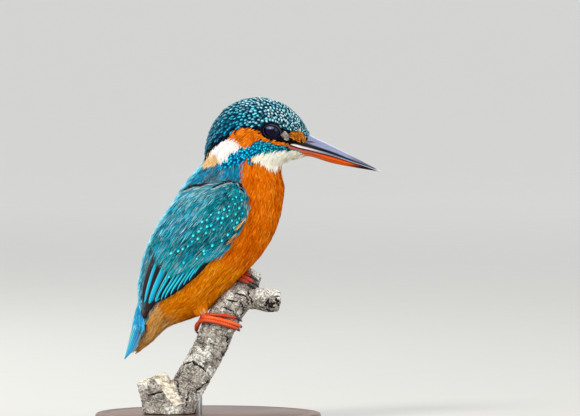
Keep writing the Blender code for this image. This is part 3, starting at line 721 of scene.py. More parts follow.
for end, first in ((0, 0), (1, (SKIN_ROWS - 1) * SKIN_COLUMNS)):
    pairs = np.arange(0, SKIN_COLUMNS, 2)
    centre = np.full(len(pairs), total)
    cap = np.stack([centre, first + pairs, first + pairs + 1, first + (pairs + 2) % SKIN_COLUMNS], axis=1)
    parts_points.append(ends[end][None])
    parts_faces.append(cap if end else cap[:, ::-1])
    parts_colours.append(skin_colours[first:first + 1])
    parts_uv.append(np.stack([
        np.tile((pairs / SKIN_COLUMNS)[:, None], 4), np.full((len(pairs), 4), float(end))], axis=2))
    total += 1
lid_turns = np.linspace(0, 2 * math.pi, 72, endpoint=False)
lid_edge = np.stack([LID_HALF[0] * np.cos(lid_turns), LID_HALF[1] * np.sin(lid_turns)], axis=1)
to_corner = np.cos(lid_turns)
lid_edge[:, 1] *= np.where(to_corner > 0, 1 - 0.4 * to_corner**4, 1 - 0.16 * to_corner**6)
for side in (-1, 1):
    rings = []
    for share, radius, wider, _ in LID_STEPS:
        flat = lid_edge * (share + wider / np.linalg.norm(lid_edge, axis=1, keepdims=True))
        x = flat[:, 0] * math.cos(EYE_SLANT) + flat[:, 1] * math.sin(EYE_SLANT)
        z = flat[:, 1] * math.cos(EYE_SLANT) - flat[:, 0] * math.sin(EYE_SLANT) - LID_DROP
        held = np.minimum(1.0, (radius - 0.03) / np.hypot(x, z))
        y = side * (EYE_OUT + np.sqrt(radius**2 - (x * held) ** 2 - (z * held) ** 2))
        rings.append(np.stack([EYE_CENTRE[0] + x * held, y, EYE_CENTRE[1] + z * held], axis=1))
    faces = banded(len(rings), len(lid_turns), True) + total
    parts_faces.append(faces[:, ::-1] if side < 0 else faces)
    parts_points.append(np.concatenate(rings))
    # Painted sheen along the lid's rim: a pale line, brightest on its upper edge and toward the back below,
    # dark elsewhere.
    painted_lid_sheen = 0.25 + 0.75 * eased(np.sin(lid_turns + 0.5), 0.2, 0.9)
    painted_lid_sheen += 0.5 * eased(np.cos(lid_turns - 3.6), 0.6, 1.0)
    rim = np.array([step[3] for step in LID_STEPS])[:, None] * painted_lid_sheen[None]
    parts_colours.append(mixed(paint("08090d"), paint("565b6a"), rim.ravel()))
    parts_uv.append(0.5 + 0.002 * np.random.default_rng(4).random((len(faces), 4, 2)))
    total += len(rings) * len(lid_turns)
skin = made_mesh(
    "skin", np.concatenate(parts_points), np.concatenate(parts_faces), np.concatenate(parts_colours),
    {"OFBake": np.concatenate([u.reshape(-1, 2) for u in parts_uv])})
skin_finish = Finish("skin_under_plumage", roughness=0.75, specular_ior_level=0.05)
down_fluff = skin_finish.noise(1400.0, 3.0, 0.6)
skin_finish.surface(
    skin_finish.blend(0.35 * down_fluff, skin_finish.painted(), paint("1a1512")),
    0.65 + 0.2 * down_fluff, down_fluff, 0.4, 0.3 * MM)
dressed(skin, skin_finish, "body_plumage", "head", "neck", "trunk", "undertail")

# --- Body plumage ---------------------------------------------------------------------------------
# Small contour feathers lie over each other like shingles from the forehead to the tail. On the
# crown, nape and cheek stripe each has a pale tip spot; on breast and belly their loose barbs part
# into fine strands. Every feather is a thin curved leaf, rooted in the skin.

SPOT_LEAF = ((0.0, 0.32), (0.3, 0.8), (0.58, 1.0), (0.68, 1.0), (0.76, 0.96), (0.84, 0.86), (0.93, 0.6),
             (1.0, 0.25))
STRAND = ((0.0, 0.7), (0.35, 1.0), (0.7, 0.75), (1.0, 0.12))
TRIES = 12  # places tried for each root that there is room for


def shares_of(step, along, across):
    """A step through space as steps in a form's own two coordinates."""
    aa, ab, bb = (along**2).sum(1), (along * across).sum(1), (across**2).sum(1)
    sa, sb = (step * along).sum(1), (step * across).sum(1)
    det = aa * bb - ab**2 + 1e-9
    return (sa * bb - sb * ab) / det, (sb * aa - sa * ab) / det


class Coat:
    """Many feathers gathered from arrays and joined into one piece."""

    def __init__(self):
        self.points, self.faces, self.colours, self.vane, self.bake, self.count = [], [], [], [], [], 0

    def lay(self, form, a, b, rng, *, lie, wraps, length, width, outline, columns, root, tip,
            heading=0.0, camber=0.22, twist=0.0, bend=0.0, rise=1.0, bake_at=None, aim=None):
        """Lays feathers rooted at (a, b); gives back their shares along and across for colouring.

        They follow the form's own lie, turned by their heading, or point one way in space: the aim.
        """
        n = len(a)
        rows = np.array([v for v, _ in outline])
        shape = np.array([w for _, w in outline])
        u = np.linspace(-1, 1, columns)
        length, width, heading = (np.broadcast_to(x, n).astype(float) for x in (length, width, heading))
        root, tip, twist, bend = (np.broadcast_to(x, n).astype(float) for x in (root, tip, twist, bend))
        at_a, at_b = a.astype(float).copy(), b.astype(float).copy()
        out_points = np.empty((n, len(rows), columns, 3))
        for r, v in enumerate(rows):
            place, along, across, out = form.at(at_a, at_b, wraps)
            ahead = lie * unit(along)
            aside = np.cross(out, ahead)
            turn = heading + bend * v
            way = ahead * np.cos(turn)[:, None] + aside * np.sin(turn)[:, None]
            if aim is not None:
                way = unit(aim - out * (aim * out).sum(1, keepdims=True))
            edge = np.cross(out, way)
            half = width * shape[r] / 2
            height = root + (tip - root) * v**rise
            for c in range(columns):
                lift = height - camber * half * u[c] ** 2 + twist * half * u[c]
                out_points[:, r, c] = place + edge * (half * u[c])[:, None] + out * lift[:, None]
            if r + 1 < len(rows):
                step = way * (length * (rows[r + 1] - v))[:, None]
                step_a, step_b = shares_of(step, along, across)
                at_a, at_b = at_a + step_a, at_b + step_b
        grid = banded(len(rows), columns, False)
        first = out_points[:, 0, 0], out_points[:, 0, 1], out_points[:, 1, 0]
        facing = np.cross(first[1] - first[0], first[2] - first[0])
        if ((facing * form.at(a, b, wraps)[3]).sum(1)).mean() < 0:
            grid = grid[:, ::-1]
        size = len(rows) * columns
        self.faces.append((grid[None] + (np.arange(n) * size)[:, None, None]).reshape(-1, 4) + self.count)
        self.points.append(out_points.reshape(-1, 3))
        self.count += n * size
        along_mm = rows[None, :, None] * length[:, None, None] + rng.uniform(0, 20, n)[:, None, None]
        across_mm = u[None, None] * width[:, None, None] / 2 * np.ones((1, len(rows), 1))
        self.vane.append(np.stack(np.broadcast_arrays(across_mm, along_mm), axis=3).reshape(-1, 2))
        at = np.stack([a, b % 1.0 if wraps else b] if bake_at is None else bake_at, axis=1)
        at = 0.02 + 0.96 * np.clip(at, 0, 1)
        patch = np.stack(np.meshgrid(rows - 0.5, u / 2, indexing="ij"), axis=2)[None] * 0.003
        self.bake.append((at[:, None, None] + patch).reshape(-1, 2)[:, ::-1])
        return rows[None, :, None], u[None, None, :]

    def tint(self, colours):
        self.colours.append(colours.reshape(-1, 3))

    def piece(self, name, finish, slot, *nodes):
        made = made_mesh(
            name, np.concatenate(self.points), np.concatenate(self.faces), np.concatenate(self.colours),
            {"OFBake": np.concatenate(self.bake), "vane": np.concatenate(self.vane)})
        return dressed(made, finish, slot, *nodes)


def plumage(name, roughness, sheen, barb, depth, contrast=0.14, dulled=0.22):
    """Feather colour from the paint on each vane, with fine barbs slanting off the shaft."""
    finish = Finish(name, roughness=roughness, specular_ior_level=sheen)
    spot = finish.node("ShaderNodeUVMap", {"uv_map": "vane"})
    parts = finish.node("ShaderNodeSeparateXYZ", {}, [spot])
    along = Reading(finish, parts.socket.node.outputs[1])
    barbs = ((along + parts.size() * -0.8) * (2 * math.pi / barb)).sine()
    uneven = finish.noise(700.0, 3.0, 0.6)
    shade = (1.0 - contrast) + contrast * barbs.eased(-0.9, 0.9)
    barbed = finish.blend(shade, (0.45, 0.45, 0.48), (1.0, 1.0, 1.0))
    colour = finish.blend(1.0, finish.painted(), barbed, "MULTIPLY")
    finish.surface(
        finish.blend(dulled * uneven, colour, paint("101418")),
        roughness - 0.06 + 0.14 * uneven, barbs * 0.5 + uneven * 0.5, 0.5, depth * MM)
    return finish


def strewn(form, pitch, wanted, seed, wraps, low=(0.0, 0.0), high=(1.0, 1.0)):
    """Roots scattered evenly where a test wants them, none nearer to another than the pitch."""
    rng = np.random.default_rng(seed)
    steps = (170, 140)
    a = low[0] + (np.arange(steps[0]) + 0.5) / steps[0] * (high[0] - low[0])
    b = low[1] + (np.arange(steps[1]) + 0.5) / steps[1] * (high[1] - low[1])
    a, b = (m.ravel() for m in np.meshgrid(a, b, indexing="ij"))
    place, along, across, _ = form.at(a, b, wraps)
    area = np.linalg.norm(np.cross(along, across), axis=1)
    area *= (high[0] - low[0]) * (high[1] - low[1]) / len(a)
    gap = pitch(a, b, place) if callable(pitch) else np.full(len(a), float(pitch))
    weight = area / gap**2 * wanted(a, b, place)
    pick = rng.choice(len(a), int(TRIES * weight.sum()), p=weight / weight.sum())
    a = a[pick] + rng.uniform(-0.5, 0.5, len(pick)) * (high[0] - low[0]) / steps[0]
    b = b[pick] + rng.uniform(-0.5, 0.5, len(pick)) * (high[1] - low[1]) / steps[1]
    places, gaps = form.at(a, b, wraps)[0], gap[pick]
    cell = gaps.max()
    keys = np.floor(places / cell).astype(int)
    taken, kept = {}, []
    for i, (key, p, g) in enumerate(zip(map(tuple, keys.tolist()), places.tolist(), gaps.tolist())):
        beside = (q for dx in (-1, 0, 1) for dy in (-1, 0, 1) for dz in (-1, 0, 1)
                  for q in taken.get((key[0] + dx, key[1] + dy, key[2] + dz), ()))
        if all((p[0] - q[0]) ** 2 + (p[1] - q[1]) ** 2 + (p[2] - q[2]) ** 2 >= g * g for q in beside):
            taken.setdefault(key, []).append(p)
            kept.append(i)
    return a[kept], b[kept]


def eye_share(place, grow):
    """Below 1 where a place lies inside the lids, grown by so much."""
    oval = eye_oval(
        place[:, 0] - EYE_CENTRE[0], place[:, 2] - EYE_CENTRE[1] + LID_DROP, LID_HALF[0] + grow,
        LID_HALF[1] + grow)
    return np.where(np.abs(place[:, 1]) > 6, oval, 9.0)


def free(place):
    """Places clear of the eye, the bare bill and the limb that the belly rests on."""
    bare = depth_inside(BARE_BILL, place[:, 0], place[:, 2]) > 0
    to_limb = np.linalg.norm(place[:, None] - limb_line[None, ::3], axis=2)
    thick = np.interp(limb_shares[::3], np.linspace(0, 1, len(LIMB_POINTS)), [p[3] for p in LIMB_POINTS])
    return (eye_share(place, 0.55) > 1) & ~bare & ((to_limb - thick[None]).min(1) > -0.4)


def by_chance(amount, rng):
    """1 as often as the amount says, and 0 otherwise."""
    return (amount > rng.uniform(0, 1, len(amount))).astype(int)


def body_roots(pitch, names, seed, reach, low=(0.0, 0.0), high=(1.0, 1.0), spread=0.25):
    """Roots of feathers that wear the named markings, which are read where their shown ends will lie."""
    rng = np.random.default_rng(seed + 100)

    def shown_end(a, b):
        back = a - reach / np.linalg.norm(body.at(a, b, True)[1], axis=1)
        return back, body.at(back, b, True)[0]

    def near(a, b, place):
        back, end = shown_end(a, b)
        return np.isin(marked(back, b, end), names) | np.isin(marked(back, b, end + 0.7), names)

    a, b = strewn(body, pitch, near, seed, True, low, high)
    back, end = shown_end(a, b)
    wears = marked(back, b, end, spread, rng)
    place = body.at(a, b, True)[0]
    keep = np.isin(wears, names) & free(place) & (eye_share(end, 0.25) > 1)
    return a[keep], b[keep], wears[keep], place[keep], rng


body_wraps = {"lie": -1, "wraps": True}
glossy_blue = plumage("glossy_blue_plumage", 0.55, 0.02, 0.34, 0.1)
soft_orange = plumage("soft_orange_plumage", 0.7, 0.01, 0.3, 0.08, dulled=0.1)
HEAD_LOW = (STATION_SHARES["neck_base"], 0.0)

# Crown, nape and the dark surround of eye and ear: round-tipped feathers, each with a bright spot
# that is a drop on the nape and a bar on the forehead.
coat = Coat()
a, b, wears, place, rng = body_roots(
    lambda a, b, place: np.interp(place[:, 0], (0, 20, 34, 40, 47), (1.4, 1.35, 1.05, 0.85, 0.7)),
    ("crown", "mask", "ear_shade"), 11, 2.2, HEAD_LOW, spread=0.15)
forward = eased(place[:, 0], 12, 36)
small = np.interp(place[:, 0], (0, 20, 34, 40, 47), (1.0, 0.95, 0.72, 0.58, 0.46))
small = small * np.where(wears == "mask", 0.6, 1.0)
length = rng.uniform(3.6, 4.6, len(a)) * small
v, u = coat.lay(
    body, a, b, rng, **body_wraps, length=length, width=rng.uniform(1.7, 2.2, len(a)) * small,
    outline=SPOT_LEAF, columns=7, root=-0.7, tip=rng.uniform(-0.15, 0.25, len(a)) * small,
    heading=rng.normal(0, 0.12, len(a)), camber=0.22, twist=rng.normal(0, 0.12, len(a)), rise=0.8)
vivid = rng.uniform(0, 1, len(a))
ridge = 1 - eased(np.abs(place[:, 1]), 2.0, 10.5)
low_side = eased(place[:, 0], 2, 9) * (1 - eased(place[:, 2], 134, 147)) * (1 - forward)
dark = mixed(paint("001a28"), paint("013e54"), vivid)
dark = mixed(dark, mixed(paint("00405e"), paint("026084"), vivid), 0.85 * low_side)
dark = mixed(dark, paint("0a7a94"), 0.6 * ridge * rng.uniform(0, 1, len(a)))
dark[wears == "ear_shade"] = paint("02081a")
dark[wears == "mask"] = paint("030307")
spot_paint = mixed(paint("049cc0"), paint("20d8f4"), vivid)
paler = np.clip(ridge + 0.7 * forward, 0, 1) * rng.uniform(0.3, 1.0, len(a))
spot_paint = mixed(spot_paint, paint("84f2ff"), paler)
whiter = np.clip(0.8 * forward + 0.7 * ridge, 0, 1) * rng.uniform(0.1, 1.0, len(a))
spot_paint = mixed(spot_paint, paint("e8ffff"), whiter)
wide = (0.3 + 0.45 * forward)[:, None, None]
tip_spot = eased(v, 0.62, 0.72) * (1 - eased(v, 0.95, 1.0)) * (1 - eased(np.abs(u), wide - 0.15, wide + 0.15))
tip_spot = tip_spot * rng.choice((0.2, 0.75, 1.0), len(a), p=(0.16, 0.28, 0.56))[:, None, None]
strength = np.where(wears == "crown", np.interp(place[:, 0], (-2, 3, 12), (0.22, 0.45, 1.0)), 0.0)
strength = strength * (0.55 + 0.45 * eased(place[:, 2], 126, 138))
tip_spot = tip_spot * strength[:, None, None]
shade = (0.5 + 0.5 * eased(v, 0.2, 0.6))[..., None] * rng.uniform(0.7, 1.25, (len(a), 1, u.shape[2], 1))
coat.tint(mixed(dark[:, None, None] * shade, spot_paint[:, None, None], tip_spot))
coat.piece("crown_feathers", glossy_blue, "body_plumage")

# Cheek stripe: blue, closely spotted with azure, from the corner of the bill to the side of the neck.
coat = Coat()
a, b, wears, place, rng = body_roots(
    lambda a, b, place: np.interp(place[:, 0], (8, 30), (1.0, 0.8)),
    ("malar",), 12, 1.4, HEAD_LOW, spread=0.12)
small = np.interp(place[:, 0], (8, 34), (1.0, 0.72))
v, u = coat.lay(
    body, a, b, rng, **body_wraps, length=rng.uniform(2.4, 3.1, len(a)) * small,
    width=rng.uniform(1.2, 1.6, len(a)) * small, outline=SPOT_LEAF, columns=7, root=-0.6,
    tip=rng.uniform(-0.1, 0.3, len(a)), heading=rng.normal(0, 0.14, len(a)), camber=0.25,
    twist=rng.normal(0, 0.12, len(a)), rise=0.8)
vivid = rng.uniform(0, 1, len(a))
dark = mixed(paint("013c68"), paint("006c9c"), vivid)
dark = mixed(dark, paint("015e70"), 0.7 * eased(place[:, 0], 20, 34))
spot_paint = mixed(paint("04a4dc"), paint("2ce0fa"), vivid)
spot_paint = mixed(spot_paint, paint("20d4cc"), 0.8 * eased(place[:, 0], 18, 32))
tip_spot = eased(v, 0.6, 0.74) * (1 - eased(v, 0.94, 1.0)) * (1 - eased(np.abs(u), 0.35, 0.85))
tip_spot = tip_spot * rng.choice((0.3, 1.0), len(a), p=(0.25, 0.75))[:, None, None]
shade = (0.6 + 0.4 * eased(v, 0.2, 0.6))[..., None] * np.ones((1, 1, u.shape[2], 1))
coat.tint(mixed(dark[:, None, None] * shade, spot_paint[:, None, None], tip_spot))
coat.piece("cheek_stripe_feathers", glossy_blue, "body_plumage")


def strands(coat, a, b, rng, each, *, length, width, fan, lift, root, spread=None, form=body, lie=-1,
            wraps=True, bend=0.0, heading=0.0):
    """Loose-barbed feathers: from each root a small fan of fine strands that lie along the body."""
    n = len(a)
    spread = width * 0.9 if spread is None else spread
    length, lift, heading, spread = (
        np.repeat(np.broadcast_to(x, n).astype(float), each) for x in (length, lift, heading, spread))
    ra, rb = np.repeat(a, each), np.repeat(b, each)
    _, along, across, out = form.at(ra, rb, wraps)
    hand = lie * np.sign((np.cross(along, across) * out).sum(1))
    fanned = np.tile(np.linspace(-1, 1, each), n) if each > 1 else np.zeros(n)
    sideways = fanned * spread + rng.normal(0, 0.25 * width, n * each)
    back = rng.uniform(-0.5, 0.5, n * each) * width + 0.25 * lie * length * fanned**2
    ra = ra - back / np.linalg.norm(along, axis=1)
    rb = rb + sideways / np.linalg.norm(across, axis=1)
    v, _ = coat.lay(
        form, ra, rb, rng, lie=lie, wraps=wraps, length=length * rng.uniform(0.75, 1.1, n * each),
        width=width * rng.uniform(0.75, 1.3, n * each), outline=STRAND, columns=2, root=root,
        tip=lift + rng.uniform(-0.14, 0.14, n * each), heading=heading + hand * fanned * fan
        + rng.normal(0, fan * 0.5, n * each), camber=0.0, twist=rng.normal(0, 0.3, n * each),
        bend=bend * rng.normal(0, 1, n * each), rise=0.75,
        bake_at=[np.repeat(a, each), np.repeat(b, each) % 1.0 if wraps else np.repeat(b, each)])
    return v


def streaked(coat, rng, each, tones, v, which=None, level=None, root_shade=0.7):
    """Colours strands: a tone per feather, some strands lighter or darker, and each darker toward its root as
    painted shade where the feathers overlap.

    Which set of tones each wears is told per feather or per strand.
    """
    count = len(coat.points[-1]) // (len(STRAND) * 2)
    feather = np.repeat(rng.uniform(0, 1, count // each) if level is None else level, each)
    strand = np.clip(feather * 0.55 + rng.uniform(0, 1, count) * 0.6 - 0.08, 0, 1)
    table = np.array([[paint(code) for code in row] for row in tones])
    which = np.zeros(count, int) if which is None else np.repeat(which, count // len(which))
    at = strand * (table.shape[1] - 1)
    low = np.minimum(at.astype(int), table.shape[1] - 2)
    colours = mixed(table[which, low], table[which, low + 1], at - low)
    # Painted shade toward the root, where the feathers overlap.
    shade = root_shade + (1 - root_shade) * eased(v, 0.1, 0.7)
    coat.tint(colours[:, None, None] * shade[..., None] * np.ones((1, 1, 2, 1)))


# Face: the ear patch, the white neck patch and the lores, all of very short soft strands.
FACE_TONES = {
    "ear": ("a84000", "ec780a", "fea032"), "neck_white": ("f2ecdc", "ffffff", "ffffff"),
    "lore": ("2c1204", "d06c08", "fcb44c"), "lore_buff": ("3a3430", "a0968a", "dcd4c8"),
    "buff": ("d89440", "f8d492", "fff0d0"),
}
coat = Coat()
a, b, wears, place, rng = body_roots(
    lambda a, b, place: np.where(place[:, 0] > 31, 0.5, 0.8),
    tuple(FACE_TONES), 13, 1.2, HEAD_LOW, spread=0.08)
cream = (wears == "neck_white") & (place[:, 0] + 1.46 * place[:, 2] + rng.normal(0, 1.0, len(a)) < 189.6)
wears = np.where(cream, "buff", wears)
short = np.interp(place[:, 0], (18, 27, 33, 37), (1.0, 0.6, 0.4, 0.5))
v = strands(
    coat, a, b, rng, 6, length=rng.uniform(3.4, 4.4, len(a)) * short, width=0.34, fan=0.09,
    lift=rng.uniform(0.0, 0.28, len(a)), root=-0.5, spread=0.36)
streaked(coat, rng, 6, list(FACE_TONES.values()), v, [list(FACE_TONES).index(w) for w in wears])
coat.piece("face_feathers", soft_orange, "body_plumage")

# Throat: white, in longer silky strands that run back under the chin.
coat = Coat()
a, b, wears, place, rng = body_roots(0.8, ("throat",), 14, 1.8, HEAD_LOW, spread=0.12)
v = strands(
    coat, a, b, rng, 6, length=np.interp(place[:, 0], (25, 47), (4.2, 2.2)), width=0.4, fan=0.08,
    lift=rng.uniform(0.05, 0.3, len(a)), root=-0.5)
peach = 1 - eased(place[:, 0] + rng.normal(0, 1.0, len(a)), 22.5, 28.0)
streaked(coat, rng, 6, [("fff4d2", "fffdec", "ffffff"), ("f0b474", "fee4b8", "fff8e8")], v,
         by_chance(peach, rng), root_shade=0.95)
coat.piece("throat_feathers", soft_orange, "body_plumage")

# Breast, then belly and flanks, then under-tail coverts: orange, the strands longer further down.
for name, seed, names, pitch, each, size, tones in (
    ("breast_feathers", 15, ("breast",), 1.1, 7, (6.0, 0.45), ("b04000", "de6400", "ec7a04", "fca030")),
    ("belly_feathers", 16, ("belly",), 1.25, 7, (8.0, 0.5), ("b45400", "de7600", "ec8a04", "faae38")),
    ("undertail_feathers", 17, ("undertail",), 1.2, 7, (8.0, 0.5), ("98581c", "d09040", "e6aa5c", "f8d8a0")),
):
    coat = Coat()
    a, b, wears, place, rng = body_roots(
        pitch, names, seed, 3.0, high=(STATION_SHARES["hind_crown"], 1.0), spread=0.3)
    lengths = rng.uniform(0.85, 1.15, len(a)) * size[0] * np.interp(a, (0.0, 0.05, 0.12), (0.45, 0.8, 1.0))
    v = strands(
        coat, a, b, rng, each, length=lengths, width=size[1], fan=0.14,
        lift=rng.uniform(-0.15, 0.2, len(a)), root=-1.1, bend=0.12)
    level = np.clip(0.5 + 0.3 * ripple(place, 13.0, 1.0) + rng.normal(0, 0.2, len(a)), 0, 1)
    streaked(coat, rng, each, [tones], v, level=level, root_shade=0.72)
    coat.piece(name, soft_orange, "body_plumage")

# Mantle and neck sides: small blue-teal feathers whose loose barbs streak them with grey. Behind a
# crease, which dark strands darken as painted shadow, the scapulars begin, and there they are greyer.
CREASE = ((-11.9, 110.1), (-6.0, 111.9), (0.9, 112.4), (3.7, 111.8), (6.0, 112.9), (10.1, 114.1),
          (14.1, 113.8), (16.4, 111.3), (17.0, 108.6))
crease_x, crease_z = np.array(CREASE[:7]).T
coat = Coat()
a, b, wears, place, rng = body_roots(
    1.15, ("mantle",), 18, 2.4, high=(STATION_SHARES["hind_crown"], 1.0), spread=0.3)
v = strands(
    coat, a, b, rng, 11, length=rng.uniform(4.0, 5.4, len(a)), width=0.36, fan=0.12,
    lift=rng.uniform(-0.25, 0.1, len(a)), root=-1.0, spread=0.95)
greyed = np.exp(-((place[:, 0] - 3.0) / 3.8) ** 2 - ((place[:, 2] - 117.0) / 4.2) ** 2)
greyed = np.repeat(0.15 + 0.85 * greyed + 0.2 * eased(ripple(place, 8.0, 0.5), 0.2, 0.9), 11)
behind = place[:, 2] < np.interp(place[:, 0], crease_x, crease_z) + rng.normal(0, 0.3, len(a)) - 0.8
picked = by_chance(greyed, rng)
picked = np.where(np.repeat(behind, 11), rng.choice((2, 3), len(picked)), picked)
streaked(coat, rng, 11, [("013c50", "0478a0", "0a9cc8", "20c0ea"), ("1a3a48", "40687a", "6c8c98", "9cb4bc"),
                         ("04485a", "087890", "10a0b8", "44c8d8"), ("28586a", "5490a0", "8cb8c2", "c4dce0")],
         v, picked, root_shade=0.6)
coat.piece("mantle_feathers", glossy_blue, "body_plumage")

# Back stripe: the brightest feathers of all, pale azure from between the shoulders to the tail.
coat = Coat()
a, b, wears, place, rng = body_roots(
    1.05, ("stripe",), 19, 2.6, high=(STATION_SHARES["hind_crown"], 1.0), spread=0.25)
v = strands(
    coat, a, b, rng, 9, length=rng.uniform(4.6, 6.2, len(a)), width=0.38, fan=0.12,
    lift=rng.uniform(-0.1, 0.4, len(a)), root=-1.0, spread=0.8)
# The whiter middle of the stripe is partly its own pale azure and partly painted highlight along the top of
# the back.
middle = 1 - eased(np.abs(place[:, 1]) + rng.normal(0, 0.5, len(a)), 2.2, 4.8)
STRIPE_TONES = (("0a98cc", "24c0e8", "6ce4f8", "a8f8ff"), ("64d0ee", "94eafc", "c4faff", "ecffff"))
streaked(coat, rng, 9, STRIPE_TONES, v, by_chance(middle, rng), root_shade=0.7)
coat.piece("back_stripe_feathers", glossy_blue, "body_plumage")

# --- Wings ----------------------------------------------------------------------------------------
# Each folded wing lies over the flank: small coverts with bright tip spots at the shoulder, loose
# scapulars above them, then the long secondaries and tertials whose edges show as azure strips, and
# the dark tips of the primaries. All lie on one curved form and are rooted in a thin skin under it.

WING_STATIONS = (
    ((10.1, 113.8), (15.8, 112.2), 14.6, 15.2, 0.6),
    ((1.8, 112.0), (17.9, 106.3), 14.4, 17.2, 2.4),
    ((-6.9, 108.8), (17.5, 98.4), 13.6, 18.8, 3.9),
    ((-13.8, 102.8), (14.3, 91.5), 13.2, 19.6, 4.8),
    ((-19.3, 95.6), (9.2, 84.2), 12.6, 19.5, 5.3),
    ((-23.9, 87.8), (2.3, 77.7), 12.0, 18.9, 5.2),
    ((-27.1, 80.5), (-5.1, 70.4), 11.0, 17.6, 4.6),
    ((-29.2, 72.7), (-12.4, 63.0), 9.8, 15.6, 3.5),
    ((-30.4, 65.3), (-19.3, 58.4), 8.6, 12.8, 2.2),
    ((-30.8, 58.4), (-25.3, 55.0), 7.4, 9.8, 1.0),
    ((-30.4, 52.9), (-28.5, 52.2), 6.4, 7.2, 0.3),
)
WING_THICKNESS, QUILL_THICKNESS, WING_SPLIT = 4.4, 1.9, 0.62
WING_PROUD = (1.8, 1.9)
WING_GRID = (141, 49)


def wing_surface():
    """The right wing's outer face, as places from shoulder to tip and from its back edge down."""
    shares, across = np.linspace(0, 1, WING_GRID[0]), np.linspace(0, 1, WING_GRID[1])
    rows = [(*upper, *lower, near, far, swell) for upper, lower, near, far, swell in WING_STATIONS]
    ux, uz, lx, lz, near, far, swell = (row[:, None] for row in flowing(rows, shares).T)
    x, z = ux + (lx - ux) * across, uz + (lz - uz) * across
    flank_points = body_sections(np.linspace(0, 1, 160), np.linspace(0, math.pi, 40)).reshape(-1, 3)
    flat = np.stack([x.ravel(), z.ravel()], axis=1)
    half = np.empty(len(flat))
    for start in range(0, len(flat), 800):
        part = flat[start:start + 800]
        away = ((part[:, None] - flank_points[None, :, ::2]) ** 2).sum(2)
        near_four = np.argpartition(away, 4, axis=1)[:, :4]
        weight = 1 / (np.take_along_axis(away, near_four, 1) + 0.05)
        half[start:start + 800] = (flank_points[near_four, 1] * weight).sum(1) / weight.sum(1)
    out = near + (far - near) * across + swell * 4 * across * (1 - across)
    proud = WING_PROUD[0] + (WING_PROUD[1] - WING_PROUD[0]) * shares[:, None]
    out = np.maximum(out, half.reshape(x.shape) + proud)
    return np.stack([x, -out, z], axis=2)


right_wing = wing_surface()
wing_form = Form(right_wing, right_wing * np.array((1.0, 0.0, 1.0)))
wing_lie = {"lie": 1, "wraps": False}
QUILL = ((0.0, 0.5), (0.12, 0.8), (0.3, 1.0), (0.5, 1.0), (0.68, 0.98), (0.8, 0.92), (0.88, 0.82),
         (0.94, 0.64), (0.98, 0.4), (1.0, 0.16))


def wing_place(x, z, grid=right_wing):
    """The wing's own coordinates, or another grid's, of a place given as seen from the side."""
    away = (grid[..., 0] - x) ** 2 + (grid[..., 2] - z) ** 2
    i, j = np.unravel_index(np.argmin(away), away.shape)
    return i / (grid.shape[0] - 1), j / (grid.shape[1] - 1)


def heading_for(form, a, b, way):
    """How far feathers must turn from a form's own lie to point one way in space."""
    _, along, _, out = form.at(a, b, form is body)
    ahead = unit(along) * (-1 if form is body else 1)
    return np.arctan2((way * np.cross(out, ahead)).sum(1), (way * ahead).sum(1))


def back_from(a, b, distance, aim):
    """Where on the wing a feather starts that points one way in space and has its tip at (a, b)."""
    a, b = np.array(a, float), np.array(b, float)
    for _ in range(6):
        _, along, across, out = wing_form.at(a, b)
        way = aim - out * (aim * out).sum(1, keepdims=True)
        step_a, step_b = shares_of(-way * (distance / 6), along, across)
        a, b = a + step_a, b + step_b
    return a, b


def mirrored(coat):
    """The same feathers on the bird's other side."""
    other = Coat()
    other.points = [p * np.array((1.0, -1.0, 1.0)) for p in coat.points]
    other.faces = [f[:, ::-1] for f in coat.faces]
    other.colours, other.vane = coat.colours, coat.vane
    other.bake = [1.0 - m for m in coat.bake]
    return other


def wing_pair(coat, name, finish, slot):
    """The right wing's piece and its mirror image on the left."""
    coat.piece(f"{name}_right", finish, slot)
    mirrored(coat).piece(f"{name}_left", finish, slot)


def across_vane(u, stops, codes):
    """Colour across a vane, from its lower edge (-1) to its upper edge (1)."""
    table = np.array([paint(code) for code in codes])
    return np.stack([np.interp(u, stops, table[:, k]) for k in range(3)], axis=-1)


def turned_out(piece):
    """Merges a piece's doubles and makes all its faces point outwards."""
    choose(piece)
    bpy.ops.object.mode_set(mode="EDIT")
    bpy.ops.mesh.select_all(action="SELECT")
    bpy.ops.mesh.remove_doubles(threshold=1e-6)
    bpy.ops.mesh.normals_make_consistent(inside=False)
    bpy.ops.object.mode_set(mode="OBJECT")
    return piece


# Thin skin under the feathers, a closed shell from the outer face in to the flank.
shell_outer = right_wing[::4, ::4][:, :-1] + np.array((0.0, 1.0, 0.0)) * 1.3
wing_shares = np.linspace(0, 1, WING_GRID[0])[::4]
thick = WING_THICKNESS + (QUILL_THICKNESS - WING_THICKNESS) * np.minimum(1, wing_shares / WING_SPLIT)
shell_outer[:, 0, 0] += 0.5
shell_outer[:, -1, 2] += 0.9
shell_inner = shell_outer + np.array((0.0, 1.0, 0.0)) * (thick[:, None, None] - 1.0)
shell = np.concatenate([shell_outer, shell_inner[:, ::-1]], axis=1)
shell_rows, shell_columns = shell.shape[:2]
shell_faces = banded(shell_rows, shell_columns, True)
caps = []
for row, flip in ((0, False), (shell_rows - 1, True)):
    for k in range(shell_columns // 2 - 1):
        face = [row * shell_columns + i for i in (k, k + 1, shell_columns - 2 - k, shell_columns - 1 - k)]
        caps.append(face[::-1] if flip else face)
shell_faces = np.concatenate([shell_faces, np.array(caps)])
wing_skin_finish = Finish("wing_skin", roughness=0.7)
pile = wing_skin_finish.noise(1200.0, 3.0, 0.6)
wing_skin_finish.surface(
    wing_skin_finish.blend(pile, paint("0a2c38"), paint("12505c")),
    0.6 + 0.2 * pile, pile, 0.4, 0.3 * MM)
